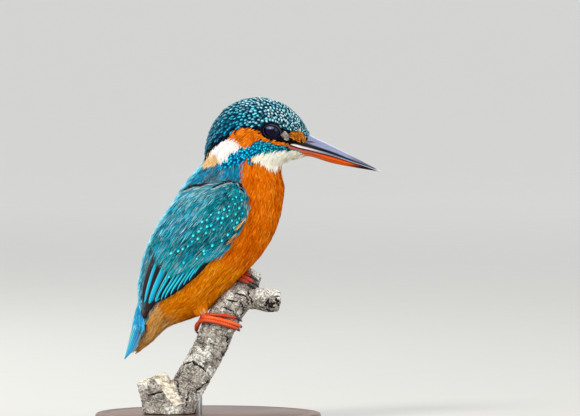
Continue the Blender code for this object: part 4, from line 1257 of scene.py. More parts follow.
for label, mirror in (("right", 1), ("left", -1)):
    points = shell.reshape(-1, 3) * np.array((1.0, mirror, 1.0))
    under = turned_out(made_mesh(f"wing_skin_{label}", points, shell_faces))
    dressed(under, wing_skin_finish, "wing_plumage", f"wing_{label}", f"flight_feathers_{label}")

quill_gloss = plumage("flight_feather_vanes", 0.42, 0.12, 0.3, 0.06, 0.05)
rng = np.random.default_rng(31)


def pointing(degrees):
    """Unit ways that point down and back, turned so many degrees from straight down."""
    turn = np.radians(degrees)
    return np.stack([-np.sin(turn), np.zeros_like(turn), -np.cos(turn)], axis=1)


def quills(coat, tips, degrees, **settings):
    """Long straight feathers given by where their tips lie, seen from the side, and where they point."""
    tips = np.array([wing_place(x, z) for x, z in tips])
    ways = pointing(np.array(degrees, float))
    lengths = np.broadcast_to(settings["length"], len(tips))[:, None]
    root_a, root_b = back_from(tips[:, 0], tips[:, 1], lengths, aim=ways)
    return coat.lay(wing_form, root_a, root_b, rng, **wing_lie, outline=QUILL, aim=ways, **settings)


# Primaries: dark, seen only as a narrow edge under the secondaries and as the point of the wing.
PRIMARIES = (  # tip, degrees back from straight down, length and width
    ((-8.2, 69.0), 42, 26.0, 3.8), ((-12.7, 65.6), 41, 26.0, 3.8), ((-17.7, 61.6), 40, 26.0, 3.8),
    ((-22.8, 57.7), 38, 26.0, 3.8), ((-26.3, 54.2), 36, 22.0, 4.2), ((-29.6, 51.9), 31, 14.0, 4.6),
    ((-30.8, 52.4), 27, 9.0, 4.2),
)
coat = Coat()
tips, degrees, lengths, widths = zip(*PRIMARIES)
v, u = quills(
    coat, tips, degrees, length=np.array(lengths), width=np.array(widths), columns=7,
    root=-1.3, tip=np.linspace(-0.85, -0.35, 7), camber=0.25, twist=0.05)
dusk = across_vane(u, (-1, -0.8, -0.5, 0.1, 1), ("40141e", "2e1018", "240c14", "2e101a", "0a0508"))
coat.tint(dusk * np.ones((7, len(QUILL), 1, 1)))

# Secondaries: each tucked under the one above, so that only its bright outer web shows.
SECONDARY_TIPS = ((-3.6, 71.2), (-6.9, 68.6), (-9.9, 66.2), (-12.8, 64.0), (-15.6, 61.9), (-17.9, 60.3),
                  (-19.7, 59.2), (-21.3, 58.0))
strips = len(SECONDARY_TIPS)
v, u = quills(
    coat, SECONDARY_TIPS, np.linspace(40.0, 30.5, strips), length=30.0, width=3.6, columns=17, root=-1.0,
    tip=np.linspace(-0.6, -0.35, strips), camber=0.05, twist=-0.2)
# The dark line at each strip's lower edge is partly the dark inner web and partly painted shadow in the gap
# between strips.
web = across_vane(u, (-1, -0.84, -0.77, -0.6, -0.4, -0.28, 1),
                  ("020407", "020407", "4cf2ff", "0cc4e4", "08a4c8", "021c28", "020203"))
glint = rng.uniform(0.85, 1.1, strips)[:, None, None, None]
# Painted shade darkens each strip toward its root, under the coverts.
coat.tint(np.clip(web * glint * (0.6 + 0.4 * eased(v, 0.5, 0.8))[..., None], 0, 1))

# Tertials: three broad ones over the upper quills, azure with dark maroon edges.
v, u = quills(
    coat, ((-22.6, 58.4), (-25.6, 57.9), (-28.5, 58.6)), (29.0, 26.5, 22.0), length=28.0, columns=17,
    width=np.array((3.8, 4.4, 4.9)), root=-0.6, tip=np.array((-0.3, -0.1, 0.1)), camber=0.1, twist=-0.14)
maroon, azure = ("34101c", "1c0810"), ("58f0ff", "0cc0e2", "08a0c6")
webs = [across_vane(u, stops, codes)[0] for stops, codes in (
    ((-1, -0.58, -0.52, -0.3, 0.4, 1), (*maroon, *azure, "04566e")),
    ((-1, -0.38, -0.32, -0.1, 0.5, 1), (*maroon, *azure, "04566e")),
    ((-1, 0.0, 0.08, 0.24, 0.62, 0.72, 1), (*maroon, *azure, "1a0810", "2c1018")))]
# Painted shade darkens each tertial toward its root.
coat.tint(np.stack(webs) * (0.7 + 0.3 * eased(v, 0.3, 0.7))[..., None])
wing_pair(coat, "flight_feathers_vanes", quill_gloss, "flight_plumage")

# Coverts: from the bend of the wing down to the long quills, in rows that grow larger. Their loose
# barbs run together into one soft coat of teal streaked with grey.
COVERT_TONES = (("012430", "036070", "0794a4", "1cc4cc"), ("12383f", "44787c", "7c9ca0", "b4c6c8"),
                ("02404c", "087c94", "129cc0", "30c4e0"))


def covert_ends(b):
    """How far along the wing the median coverts reach."""
    return np.interp(b, (0.0, 0.2, 0.4, 0.7, 1.0), (0.6, 0.6, 0.57, 0.5, 0.46))


def covert_tones(a, place, grey, each):
    """Which tones each strand wears: mostly teal, greyer in loose patches, bluer here and there."""
    greyed = eased(ripple(place, 9.0, 2.0) + rng.normal(0, 0.35, len(a)), 0.35 - grey, 1.3 - grey)
    bluer = eased(ripple(place, 14.0, 5.0) + rng.normal(0, 0.3, len(a)), 0.1, 0.7)
    greyed, bluer = np.repeat(0.15 + 0.6 * greyed, each), np.repeat(bluer, each)
    picks = rng.uniform(0, 1, (2, len(greyed)))
    return np.where(greyed > picks[0], 1, np.where(bluer > picks[1], 2, 0))


coat = Coat()
a, b = strewn(
    wing_form, lambda a, b, place: np.interp(a, (0, 0.2, 0.5), (0.85, 1.15, 1.5)),
    lambda a, b, place: a < covert_ends(b), 32, False, low=(-0.005, 0.0), high=(0.6, 1.0))
place = wing_form.at(a, b)[0]
length = np.interp(a, (0, 0.2, 0.5), (2.6, 4.4, 7.0)) * rng.uniform(0.9, 1.1, len(a))
v = strands(
    coat, a, b, rng, 12, form=wing_form, **wing_lie, length=length, width=0.34, fan=0.1, root=-1.0,
    lift=rng.uniform(-0.45, -0.15, len(a)), spread=np.interp(a, (0, 0.2, 0.5), (0.7, 1.0, 1.5)),
    heading=-0.04 + rng.normal(0, 0.08, len(a)))
level = np.clip(0.5 + 0.25 * ripple(place, 6.0, 1.0) + rng.normal(0, 0.25, len(a)), 0, 1)
streaked(coat, rng, 12, COVERT_TONES, v, covert_tones(a, place, 0.15, 12), level, root_shade=0.35)

# Greater coverts: a tidy last row whose ends lie over the quills, rimmed with brighter barbs.
GREATER_TIPS = ((3.4, 79.4), (-1.2, 76.3), (-4.8, 74.8), (-8.3, 73.3), (-12.9, 71.0), (-17.9, 69.3),
                (-19.6, 72.4), (-22.0, 76.0), (-25.0, 79.0))
line = np.array(GREATER_TIPS)
line_at = travelled(line)
spots_at = np.linspace(0, line_at[-1], 34)
ends = [wing_place(np.interp(t, line_at, line[:, 0]), np.interp(t, line_at, line[:, 1])) for t in spots_at]
ways = pointing(np.interp(spots_at, (0, line_at[-1]), (41.0, 30.0)))
for back, up in ((3.2, -0.55), (1.6, -0.35), (0.0, -0.15)):
    tips = np.array(ends) + rng.normal(0, 0.004, (len(ends), 2))
    root_a, root_b = back_from(tips[:, 0], tips[:, 1], 9.0 + back, aim=ways)
    place = wing_form.at(root_a, root_b)[0]
    v = strands(
        coat, root_a, root_b, rng, 14, form=wing_form, **wing_lie, length=9.4, width=0.32, fan=0.05,
        root=-0.8, lift=up, spread=1.5, heading=rng.normal(0.0, 0.03, len(tips)))
    streaked(coat, rng, 14, COVERT_TONES, v, covert_tones(root_a, place, 0.1, 14),
             np.full(len(tips), 0.6) + 0.3 * (back == 0.0), root_shade=0.5)
wing_pair(coat, "wing_coverts", glossy_blue, "wing_plumage")

# Spotted tips: small round feathers over the other coverts, each ending in a bright drop.
SPOTS = ((15.0, 108.8), (11.5, 105.6), (12.7, 103.7), (9.7, 102.6), (9.9, 100.5), (14.5, 101.4),
         (9.2, 97.8), (14.7, 96.8), (1.4, 98.4), (4.8, 99.4), (4.1, 96.6), (6.2, 94.8), (1.6, 93.8),
         (2.8, 92.0), (-0.7, 96.1), (-3.0, 95.2), (-3.2, 92.0), (-4.4, 91.1), (-0.9, 89.9), (-4.4, 87.4),
         (-7.6, 86.2), (-9.0, 83.9), (-11.5, 83.0), (11.7, 92.5), (9.0, 89.2), (6.2, 86.7), (2.1, 84.4),
         (-2.1, 82.1), (-1.8, 80.5), (-5.1, 78.4), (13.3, 106.9), (15.6, 105.2), (-16.9, 81.0),
         (-18.0, 69.9), (-10.8, 76.2), (12.6, 98.9), (7.4, 101.2), (13.4, 94.6), (6.9, 97.2),
         (-0.2, 93.2), (-6.6, 88.6), (-13.4, 81.6), (16.0, 98.8), (11.0, 96.0))
coat = Coat()
tips = np.array([wing_place(x, z) for x, z in SPOTS])
size = np.interp(tips[:, 0], (0.05, 0.5), (0.72, 0.95)) * rng.uniform(0.75, 1.1, len(tips))
way = pointing(rng.normal(24.0, 8.0, len(tips)))
root_a, root_b = back_from(tips[:, 0], tips[:, 1], 3.6 * size[:, None], aim=way)
v, u = coat.lay(
    wing_form, root_a, root_b, rng, **wing_lie, length=3.9 * size, width=2.1 * size, outline=SPOT_LEAF,
    columns=9, root=-0.7, tip=0.15, camber=0.3, aim=way)
teal = mixed(paint("02404c"), paint("087480"), rng.uniform(0, 1, len(tips)))
shade = rng.uniform(0.6, 1.3, (len(tips), 1, u.shape[2], 1))
halo = eased(v, 0.5, 0.64) * (1 - eased(np.abs(u), 0.5, 0.9))
shown = mixed(teal[:, None, None] * shade, paint("04a4b4"), halo)
drop = eased(v, 0.62, 0.74) * (1 - eased(v, 0.92, 1.0)) * (1 - eased(np.abs(u), 0.25, 0.7))
drop = drop * rng.choice((0.55, 1.0), len(tips), p=(0.3, 0.7))[:, None, None]
coat.tint(np.clip(mixed(shown, paint("58f0fa"), drop), 0, 1))
wing_pair(coat, "spotted_coverts", glossy_blue, "wing_plumage")

# Scapulars: long, loose and soft, over the top of the folded wing from shoulder to tertials.
coat = Coat()
a, b = strewn(
    wing_form, lambda a, b, place: np.interp(a, (0, 0.2, 0.5), (1.1, 1.4, 1.8)),
    lambda a, b, place: b < np.interp(a, (0.0, 0.12, 0.3, 0.38, 0.42), (0.1, 0.26, 0.4, 0.36, 0.26)),
    33, False, low=(0.0, 0.0), high=(0.42, 0.5))
place = wing_form.at(a, b)[0]
length = np.interp(a, (0, 0.2, 0.5), (5.0, 8.0, 11.0)) * rng.uniform(0.88, 1.08, len(a))
v = strands(
    coat, a, b, rng, 14, form=wing_form, **wing_lie, length=length, width=0.36, fan=0.07, root=-0.8,
    lift=rng.uniform(-0.15, 0.15, len(a)), spread=np.interp(a, (0, 0.2, 0.5), (0.9, 1.4, 1.9)),
    heading=rng.normal(0.03, 0.05, len(a)), bend=0.04)
greyed = np.repeat(0.25 + 0.4 * (1 - eased(a + 0.05 * ripple(place, 8.0), 0.06, 0.34)), 14)
streaked(
    coat, rng, 14, (("022c3c", "087c98", "14b4d4", "8ceefc"), ("2c5c6a", "70a2b0", "b4d0d8", "e8f2f4"),
                    ("064048", "2c8c94", "60b8bc", "b4dedc")), v,
    np.where(greyed > rng.uniform(0, 1, len(greyed)), rng.choice((1, 2), len(greyed)), 0), root_shade=0.4)
# Dark strands along the crease in front of them, painted shadow in the fold, and the pale barbs that rim it.
right_flank_a, right_flank_b = np.meshgrid(np.linspace(0, 1, 300), np.linspace(0.5, 1, 160), indexing="ij")
right_flank = body.at(right_flank_a.ravel(), right_flank_b.ravel(), True)[0].reshape(300, 160, 3)
for drop, step, lift, tones in (
        (0.0, 0.35, 0.3, ("0c0810", "2c1c28", "4c3848")), (0.9, 0.5, 0.2, ("4c8890", "88b8bc", "c4e0e0"))):
    for form, points in ((body, CREASE[:4]), (wing_form, CREASE[3:])):
        line = np.array(points)
        line_at = travelled(line)
        at = np.arange(0.0, line_at[-1], step)
        x, z = (np.interp(at, line_at, line[:, k]) + rng.normal(0, 0.12, len(at)) for k in range(2))
        grid = right_flank if form is body else right_wing
        a, b = np.array([wing_place(i, j - drop, grid) for i, j in zip(x, z)]).T
        b = 0.5 + 0.5 * b if form is body else b
        slope = np.interp(at, line_at, np.gradient(line[:, 1]) / np.gradient(line[:, 0]))
        way = np.stack([-np.ones(len(at)), np.zeros(len(at)), -np.clip(slope, -0.4, 1.0)], axis=1)
        v = strands(
            coat, a, b, rng, 4, form=form, lie=-1 if form is body else 1, wraps=form is body, length=2.6,
            width=0.3, fan=0.05, root=-0.4, lift=lift, spread=0.22, heading=heading_for(form, a, b, way))
        streaked(coat, rng, 4, (tones,), v)
wing_pair(coat, "scapulars", glossy_blue, "wing_plumage")

# Flank wisps: loose ends of the breast's feathers that have slipped over the wing's lower edge.
coat = Coat()
tips = np.array([wing_place(x, z) for x, z in (
    (11.6, 91.4), (12.6, 92.4), (14.4, 94.0), (8.0, 85.6), (7.2, 84.8), (9.6, 87.2))])
way = pointing(np.array((62, 55, 48, 60, 66, 54), float))
root_a, root_b = back_from(tips[:, 0], tips[:, 1] + 0.015, 4.6, aim=way)
v = strands(
    coat, root_a, root_b, rng, 5, form=wing_form, **wing_lie, length=4.6, width=0.2, fan=0.1, root=-0.8,
    lift=0.25, heading=heading_for(wing_form, root_a, root_b, way), spread=0.25)
streaked(coat, rng, 5, [("b85408", "ec8c20", "f8bc70", "ffe0b0")], v)
wing_pair(coat, "flank_wisps", soft_orange, "body_plumage")

# --- Tail -----------------------------------------------------------------------------------------
# Twelve short stiff feathers, closed: the middle pair lie on top and the outer ones tuck beneath
# and hang a little lower. Azure above, dull brown below, with the upper-tail coverts over their roots.

TAIL_ROOT, TAIL_TIP = np.array((-30.9, 61.0)), np.array((-38.8, 31.1))
TAIL_SHARES = (0.0, 0.3, 0.5, 0.75, 0.9, 1.0)
TAIL_HALF_WIDTHS = (4.4, 5.6, 7.8, 7.4, 6.0, 2.6)
TAIL_ARCHES = (2.0, 3.4, 5.4, 3.5, 2.0, 0.5)
TAIL_THICKNESS = 1.7
TAIL_HIGHLIGHT = (0.7, 0.35, 0.0, 0.0, 0.1, 0.5)  # painted highlight on each pair, from the middle pair on top to the outer one
# Painted shade on each pair toward its root, where the coverts and the pairs above lie over it.
TAIL_ROOT_SHADE = (0.9, 0.8, 0.45, 0.3, 0.5, 0.8)
TAIL_LENGTHS = (1.0, 0.985, 0.96, 0.93, 0.89, 0.84)


def tail_surface(depth):
    """The tail's upper face, or one so far beneath it, from root to tip and from right to left."""
    shares, across = np.linspace(0, 1, 61), np.linspace(-1, 1, 41)
    half = np.interp(shares, TAIL_SHARES, TAIL_HALF_WIDTHS)[:, None]
    arch = np.interp(shares, TAIL_SHARES, TAIL_ARCHES)[:, None]
    way = (TAIL_TIP - TAIL_ROOT) / np.linalg.norm(TAIL_TIP - TAIL_ROOT)
    centre = TAIL_ROOT + (TAIL_TIP - TAIL_ROOT) * shares[:, None]
    drop = arch * np.abs(across) ** 1.6 + depth * (1 - 0.45 * shares[:, None])
    x, z = centre[:, :1] - way[1] * drop, centre[:, 1:] + way[0] * drop
    return np.stack([x, half * across, z], axis=2)


def tail_root(rank, side):
    """Where a tail feather is rooted: each pair further out than the one before."""
    return np.array([0.0]), np.array([0.5 + side * (0.045 + 0.082 * rank)])


upper_face, under_face = tail_surface(0.0), tail_surface(TAIL_THICKNESS)
tail_form = Form(upper_face, under_face)
under_form = Form(under_face, upper_face)
coat = Coat()
rng = np.random.default_rng(41)
TAIL_LENGTH = float(np.linalg.norm(TAIL_TIP - TAIL_ROOT))
for rank in range(5, -1, -1):  # the outer pair are laid first and lie lowest
    for side in (-1, 1):
        v, u = coat.lay(
            tail_form, *tail_root(rank, side), rng, lie=1, wraps=False, width=4.2, outline=QUILL, columns=9,
            length=TAIL_LENGTH * TAIL_LENGTHS[rank], root=-0.2 - 0.13 * rank, tip=0.1 - 0.14 * rank,
            camber=0.1, twist=-side * 0.06)
        # The near-white outer edge of each web is painted highlight, and so is the pale tone mixed in after
        # it.
        web = across_vane(u * side, (-1, -0.75, -0.15, 0.0, 0.2, 0.85, 1),
                          ("046c98", "06a8dc", "0494cc", "023c54", "049cd0", "58ecfc", "e0ffff"))
        web = mixed(web, paint("7cf4fc"), TAIL_HIGHLIGHT[rank])
        coat.tint(web * (TAIL_ROOT_SHADE[rank] + (1 - TAIL_ROOT_SHADE[rank]) * eased(v, 0.3, 0.8))[..., None])
tail_under = Coat()
for rank in range(6):
    for side in (-1, 1):
        v, u = tail_under.lay(
            under_form, *tail_root(rank, side), rng, lie=1, wraps=False, width=4.2, outline=QUILL, columns=5,
            length=TAIL_LENGTH * (TAIL_LENGTHS[rank] - 0.01), root=-0.3, tip=-0.5 + 0.06 * rank, camber=0.1)
        dull = across_vane(u, (-1, 0, 1), ("7a4e24", "2c1608", "8c6030"))
        tail_under.tint(dull * np.ones((1, len(QUILL), 1, 1)))
# Upper-tail coverts: pale azure, over the roots of the tail feathers.
a, b = strewn(tail_form, 1.1, lambda a, b, place: a < 0.3, 42, False, low=(-0.12, 0.02), high=(0.3, 0.98))
v = strands(
    coat, a, b, rng, 11, form=tail_form, lie=1, wraps=False, length=rng.uniform(6.5, 9.5, len(a)), width=0.4,
    fan=0.1, root=0.0, lift=rng.uniform(0.3, 0.7, len(a)), spread=1.1)
side_blue = eased(np.abs(b - 0.5), 0.2, 0.42)
RUMP_TONES = (("0a98d0", "20c0ec", "6ce8fa", "b0f6ff"), ("0464a4", "0a88c8", "18a8e0", "58d0f4"))
streaked(coat, rng, 11, RUMP_TONES, v, by_chance(side_blue, rng), root_shade=0.65)
for key in ("points", "colours", "vane", "bake"):
    getattr(coat, key).extend(getattr(tail_under, key))
coat.faces.extend(f + coat.count for f in tail_under.faces)
coat.piece("tail_feathers", quill_gloss, "flight_plumage", "tail")

# --- Eyes -----------------------------------------------------------------------------------------
# A wet dark ball in each socket: nearly black iris, black pupil, and a glossy front with a soft
# painted highlight above. The lids belong to the skin and lie over the ball's edge.

eye_finish = Finish("eye", roughness=0.05, specular_ior_level=0.13)
axis = eye_finish.node("ShaderNodeSeparateXYZ", {}, [eye_finish.place()])
height = Reading(eye_finish, axis.socket.node.outputs[2])
from_middle = (axis - EYE_CENTRE[0] * MM) * (axis - EYE_CENTRE[0] * MM) + (height - EYE_CENTRE[1] * MM) * (
    height - EYE_CENTRE[1] * MM)
iris_noise = eye_finish.noise(1500.0, 3.0, 0.6)
iris = eye_finish.blend(iris_noise, paint("02021a"), paint("060634"))
# The pale patch on the upper front of the ball is a painted highlight.
side_on = (axis - (EYE_CENTRE[0] - 0.9) * MM) * 480.0
raised = (height - (EYE_CENTRE[1] + 1.5) * MM) * 1350.0
painted_highlight = 1.0 - (side_on * side_on + raised * raised).eased(0.1, 1.3)
deep = eye_finish.blend((from_middle * 1e6).eased(3.2, 4.4), paint("01020a"), iris)
eye_finish.surface(
    eye_finish.blend(painted_highlight * 0.7, deep, paint("6c6c96")),
    0.03 + 0.03 * iris_noise, iris_noise, 0.02, 0.02 * MM)
for label, side in (("right", -1), ("left", 1)):
    clear_selection()
    bpy.ops.mesh.primitive_uv_sphere_add(
        segments=64, ring_count=32, radius=EYE_RADIUS * MM, rotation=(math.pi / 2, 0, 0),
        location=(EYE_CENTRE[0] * MM, side * EYE_OUT * MM, EYE_CENTRE[1] * MM))
    ball = added(f"eye_ball_{label}")
    ball.data.shade_smooth()
    dressed(ball, eye_finish, "eye", f"eye_{label}")

# --- Bill -----------------------------------------------------------------------------------------
# Two horny mandibles that close along a fine line, with a pale fleshy edge at the gape. The upper is
# black with a painted grey sheen and a painted highlight along its ridge; a female's lower one is orange-red
# with a dark tip.

BILL_STATIONS = (
    ((38.2, 137.6), (36.4, 130.9), (37.6, 126.2), 9.3),
    ((43.0, 137.2), (41.0, 129.2), (42.6, 125.4), 6.9),
    ((48.2, 134.0), (48.2, 127.5), (47.6, 124.9), 4.7),
    ((56.0, 130.2), (56.4, 125.5), (55.6, 122.4), 3.7),
    ((65.6, 125.3), (66.4, 122.3), (65.8, 120.3), 2.4),
    ((74.4, 120.7), (74.8, 119.6), (74.6, 118.8), 1.0),
    ((79.8, 118.0), (79.6, 117.8), (78.2, 118.2), 0.3),
)
BILL_ROWS, BILL_ROUND = 110, 65
CLOSED_GAP = 0.15
NOSTRIL = (46.8, 131.6)


def banded_tone(rise, bands, inner):
    """Colour at a height on a mandible, from bands each given by its span and its inner and outer tones."""
    stops = [stop for low, high, _, _ in bands for stop in (low, high)]
    tones = [mixed(paint(outer), paint(near), inner) for _, _, near, outer in bands]
    tones = np.repeat(np.array(tones), 2, axis=0)
    return np.array([np.interp(rise, stops, tones[:, k]) for k in range(3)])


def mandible(name, top, bottom, upper):
    """One half of the bill, row by row from its root, with its bands of colour."""
    rows = flowing([(*s[top], *s[bottom], s[3]) for s in BILL_STATIONS], np.linspace(0, 1, BILL_ROWS))
    points, colours = [], []
    for tx, tz, bx, bz, width in rows:
        base, crest = ((bx, bz), (tx, tz)) if upper else ((tx, tz), (bx, bz))
        for k in range(BILL_ROUND):
            turn = math.pi * k / (BILL_ROUND - 1)
            rise = max(0.0, math.sin(turn)) ** (1.15 if upper else 1.0)
            x, z = base[0] + (crest[0] - base[0]) * rise, base[1] + (crest[1] - base[1]) * rise
            wider = 1.14 - 0.21 * eased(x, 41.0, 49.0)
            y = width * math.cos(turn) * wider
            lip = 0.12 * math.exp(-((rise - 0.05) / 0.06) ** 2) * (1 if x > 46 else 0)
            y += math.copysign(lip, y)
            if upper:
                ahead, above = x - NOSTRIL[0], z - NOSTRIL[1]
                slit = math.exp(-((ahead / 2.0) ** 2) - ((above + 0.1 * ahead) / 0.3) ** 2)
                y -= math.copysign(0.45 * slit, y)
            points.append((x, y, z + (CLOSED_GAP if upper else -CLOSED_GAP)))
            inner = eased(-x, -58.0, -40.0)
            if upper:
                plane = 0.40 - 0.05 * eased(x, 56.0, 72.0)
                # Bands from the cutting edge up: a dark edge, a pale line that is fleshy gape near the root
                # and painted highlight further out, the black band, a painted grey sheen, and a painted
                # highlight along the ridge.
                tone = banded_tone(rise, (
                    (0.0, 0.015, "2a1418", "05060c"), (0.02, 0.10, "f2dcdc", "5c6c8c"),
                    (0.15, plane - 0.04, "0c0a12", "05060c"), (plane + 0.04, 0.9, "7c7f9a", "848aa6"),
                    (0.97, 1.0, "c8cce0", "d4d8ea")), inner)
                tone = mixed(tone, paint("4a0a10"), min(1.0, 1.5 * slit))
                tone = mixed(tone, paint("2c2c40"), 0.65 * eased(x, 62.0, 72.0))
                tone = mixed(tone, paint("d8d0d8"), eased(x, 76.0, 79.0))
            else:
                # The darker line along the lower mandible's middle is painted shade of a shallow groove.
                tone = banded_tone(rise, (
                    (0.0, 0.05, "4a0e12", "0e0a10"), (0.12, 0.2, "a05a50", "a82a00"),
                    (0.26, 0.48, "c06038", "e85a00"), (0.53, 0.56, "8c3418", "b03400"),
                    (0.62, 0.84, "d07030", "e05a00"), (0.95, 1.0, "a04a1c", "a83000")), inner)
                tip = eased(x + 3.0 * rise, 63.5, 72.5)
                tone = mixed(tone, paint("1c0810"), tip)
                tone = mixed(tone, paint("c8bcc4"), 0.7 * eased(x, 76.0, 78.5))
            colours.append(tone)
    faces = banded(BILL_ROWS, BILL_ROUND, True)
    caps = []
    for row in (0, BILL_ROWS - 1):
        for k in range(BILL_ROUND // 2):
            caps.append([row * BILL_ROUND + i for i in (k, k + 1, BILL_ROUND - 2 - k, BILL_ROUND - 1 - k)])
    return made_mesh(name, np.array(points), np.concatenate([faces, np.array(caps[:-1])]), np.array(colours))


horn = Finish("bill_horn", roughness=0.4, specular_ior_level=0.1)
growth = horn.noise(14.0, 4.0, 0.6, horn.stretched((14.0, 90.0, 90.0), (0.0, 0.42, 0.0)))
pits = horn.noise(900.0, 3.0, 0.6)
horn.surface(
    horn.blend(growth.eased(0.4, 0.7) * 0.22, horn.painted(), paint("20202a")),
    0.34 + 0.2 * pits, growth * 0.7 + pits * 0.3, 0.25, 0.15 * MM)
for name, top, bottom, upper, slot in (
    ("bill_upper", 0, 1, True, "upper_bill_horn"), ("bill_lower", 1, 2, False, "lower_bill_horn")):
    dressed(turned_out(mandible(f"{name}_horn", top, bottom, upper)), horn, slot, name)

# --- Feet -----------------------------------------------------------------------------------------
# Very short legs and small coral-red feet that grip the limb. Three toes point forward, the outer
# two joined for most of their length, and one back. Low scutes ring every toe above; each ends in a
# curved black claw.

FEET = {
    "right": (0.622, {
        "hind": (0.0, -32.0, -1.0, -6.4, 1.05), "inner": (16.0, 104.0, 1.3, 6.2, 0.85),
        "middle": (8.0, 139.0, -0.5, 4.2, 0.98), "outer": (4.0, 131.0, -2.2, 2.2, 0.95)}),
    "left": (0.918, {
        "hind": (-44.0, -118.0, -0.8, -2.6, 1.0), "inner": (-20.0, 66.0, 1.9, 2.8, 0.85),
        "middle": (-30.0, 84.0, 0.2, 0.8, 0.98), "outer": (-34.0, 72.0, -1.5, -1.0, 0.95)}),
}
PAD_TURN = {"right": 6.0, "left": -38.0}
CLAW_TURN = {"right": 42.0, "left": 44.0}
TARSUS_RADIUS, TARSUS_LENGTH = 1.35, 9.0
TARSUS_TILT = {"right": (-0.10, 0.12, 1.0), "left": (-0.25, -0.1, 1.0)}
TOE_CLEARANCE = 0.3
SCUTE_PITCH = 1.05
# Deep and bright tones for each foot: the near one in painted light, the far one in painted shade.
FOOT_SHADED_AND_LIT = {"right": ("a81400", "ff6418"), "left": ("5c0c00", "b02a10")}
# How far each toe takes its foot's bright tone: painted highlight on the toes that face the light.
TOE_PAINTED_LIGHT = {"middle": 0.9, "outer": 0.5, "inner": 0.15, "hind": 0.3}
THIGH_TONES = (("b45400", "de7600", "ec8a04", "faae38"), ("b46c28", "dc9448", "f0b474", "fcd8a8"))


def tube(rows, around, scutes=0.0):
    """A capped tube through rows of x, y, z and radius, with low overlapping scutes on it if wanted."""
    rows = np.array([[*r[:4]] for r in rows], float)
    rows_at = travelled(rows[:, :3])
    at = np.linspace(0, rows_at[-1], max(4, int(rows_at[-1] / 0.16)))
    rows = np.stack([np.interp(at, rows_at, rows[:, k]) for k in range(4)], axis=1)
    ahead = unit(np.gradient(rows[:, :3], axis=0))
    across = np.cross(ahead, (0.0, 0.0, 1.0))
    across /= np.linalg.norm(across, axis=1, keepdims=True) + 1e-9
    up = np.cross(across, ahead)
    turns = np.linspace(0, 2 * math.pi, around, endpoint=False)
    plate = (at / SCUTE_PITCH) % 1.0
    swell = 1 + scutes * (0.6 - 1.4 * eased(np.abs(plate - 0.5), 0.34, 0.5))
    radius = rows[:, 3] * swell
    ring = across[:, None] * np.cos(turns)[None, :, None] + up[:, None] * np.sin(turns)[None, :, None]
    points = rows[:, None, :3] + ring * radius[:, None, None]
    start, end = rows[0, :3] - ahead[0] * radius[0] * 0.5, rows[-1, :3] + ahead[-1] * radius[-1] * 0.6
    points = np.concatenate([np.tile(start, (1, around, 1)), points, np.tile(end, (1, around, 1))])
    seam_and_shade = np.concatenate([[0], eased(np.abs(plate - 0.5), 0.3, 0.5), [0]])[:, None]
    # The underside of each tube is darkened as painted shade, along with the dark seams between the scutes.
    seam_and_shade = np.maximum(seam_and_shade * 0.8, 0.8 * eased(-np.sin(turns), -0.2, 0.9)[None]).ravel()
    return points.reshape(-1, 3), banded(len(points), around, True), seam_and_shade


def joined(name, parts, colours_of):
    """Several tubes as one closed piece."""
    points, faces, colours, count = [], [], [], 0
    for part_points, part_faces, seam_and_shade, share in parts:
        points.append(part_points)
        faces.append(part_faces + count)
        colours.append(colours_of(part_points, seam_and_shade, share))
        count += len(part_points)
    return turned_out(made_mesh(name, np.concatenate(points), np.concatenate(faces), np.concatenate(colours)))


def foot_colours(label, seam_and_shade, share):
    """Coral red, brighter on some toes as painted highlight and darker on the far foot and on each toe's
    underside as painted shade, with dark seams between the scutes.
    """
    deep, bright = FOOT_SHADED_AND_LIT[label]
    return mixed(mixed(paint(deep), paint(bright), share), paint("40080a"), 0.85 * seam_and_shade)


foot_skin = Finish("scaly_foot_skin", roughness=0.34, specular_ior_level=0.4)
scales = foot_skin.cells(2600.0)
blush = foot_skin.noise(300.0, 3.0, 0.6)
foot_skin.surface(
    foot_skin.blend(0.35 * blush, foot_skin.painted(), paint("d05008")),
    0.26 + 0.2 * blush, scales * 0.6 + blush * 0.4, 0.35, 0.12 * MM)
claw_horn = Finish("claw_horn", roughness=0.28, coat_weight=0.3)
streaks = claw_horn.noise(500.0, 3.0, 0.6)
claw_horn.surface(
    claw_horn.blend(streaks, paint("0b0a0c"), paint("2a2422")),
    0.22 + 0.15 * streaks, streaks, 0.15, 0.08 * MM)

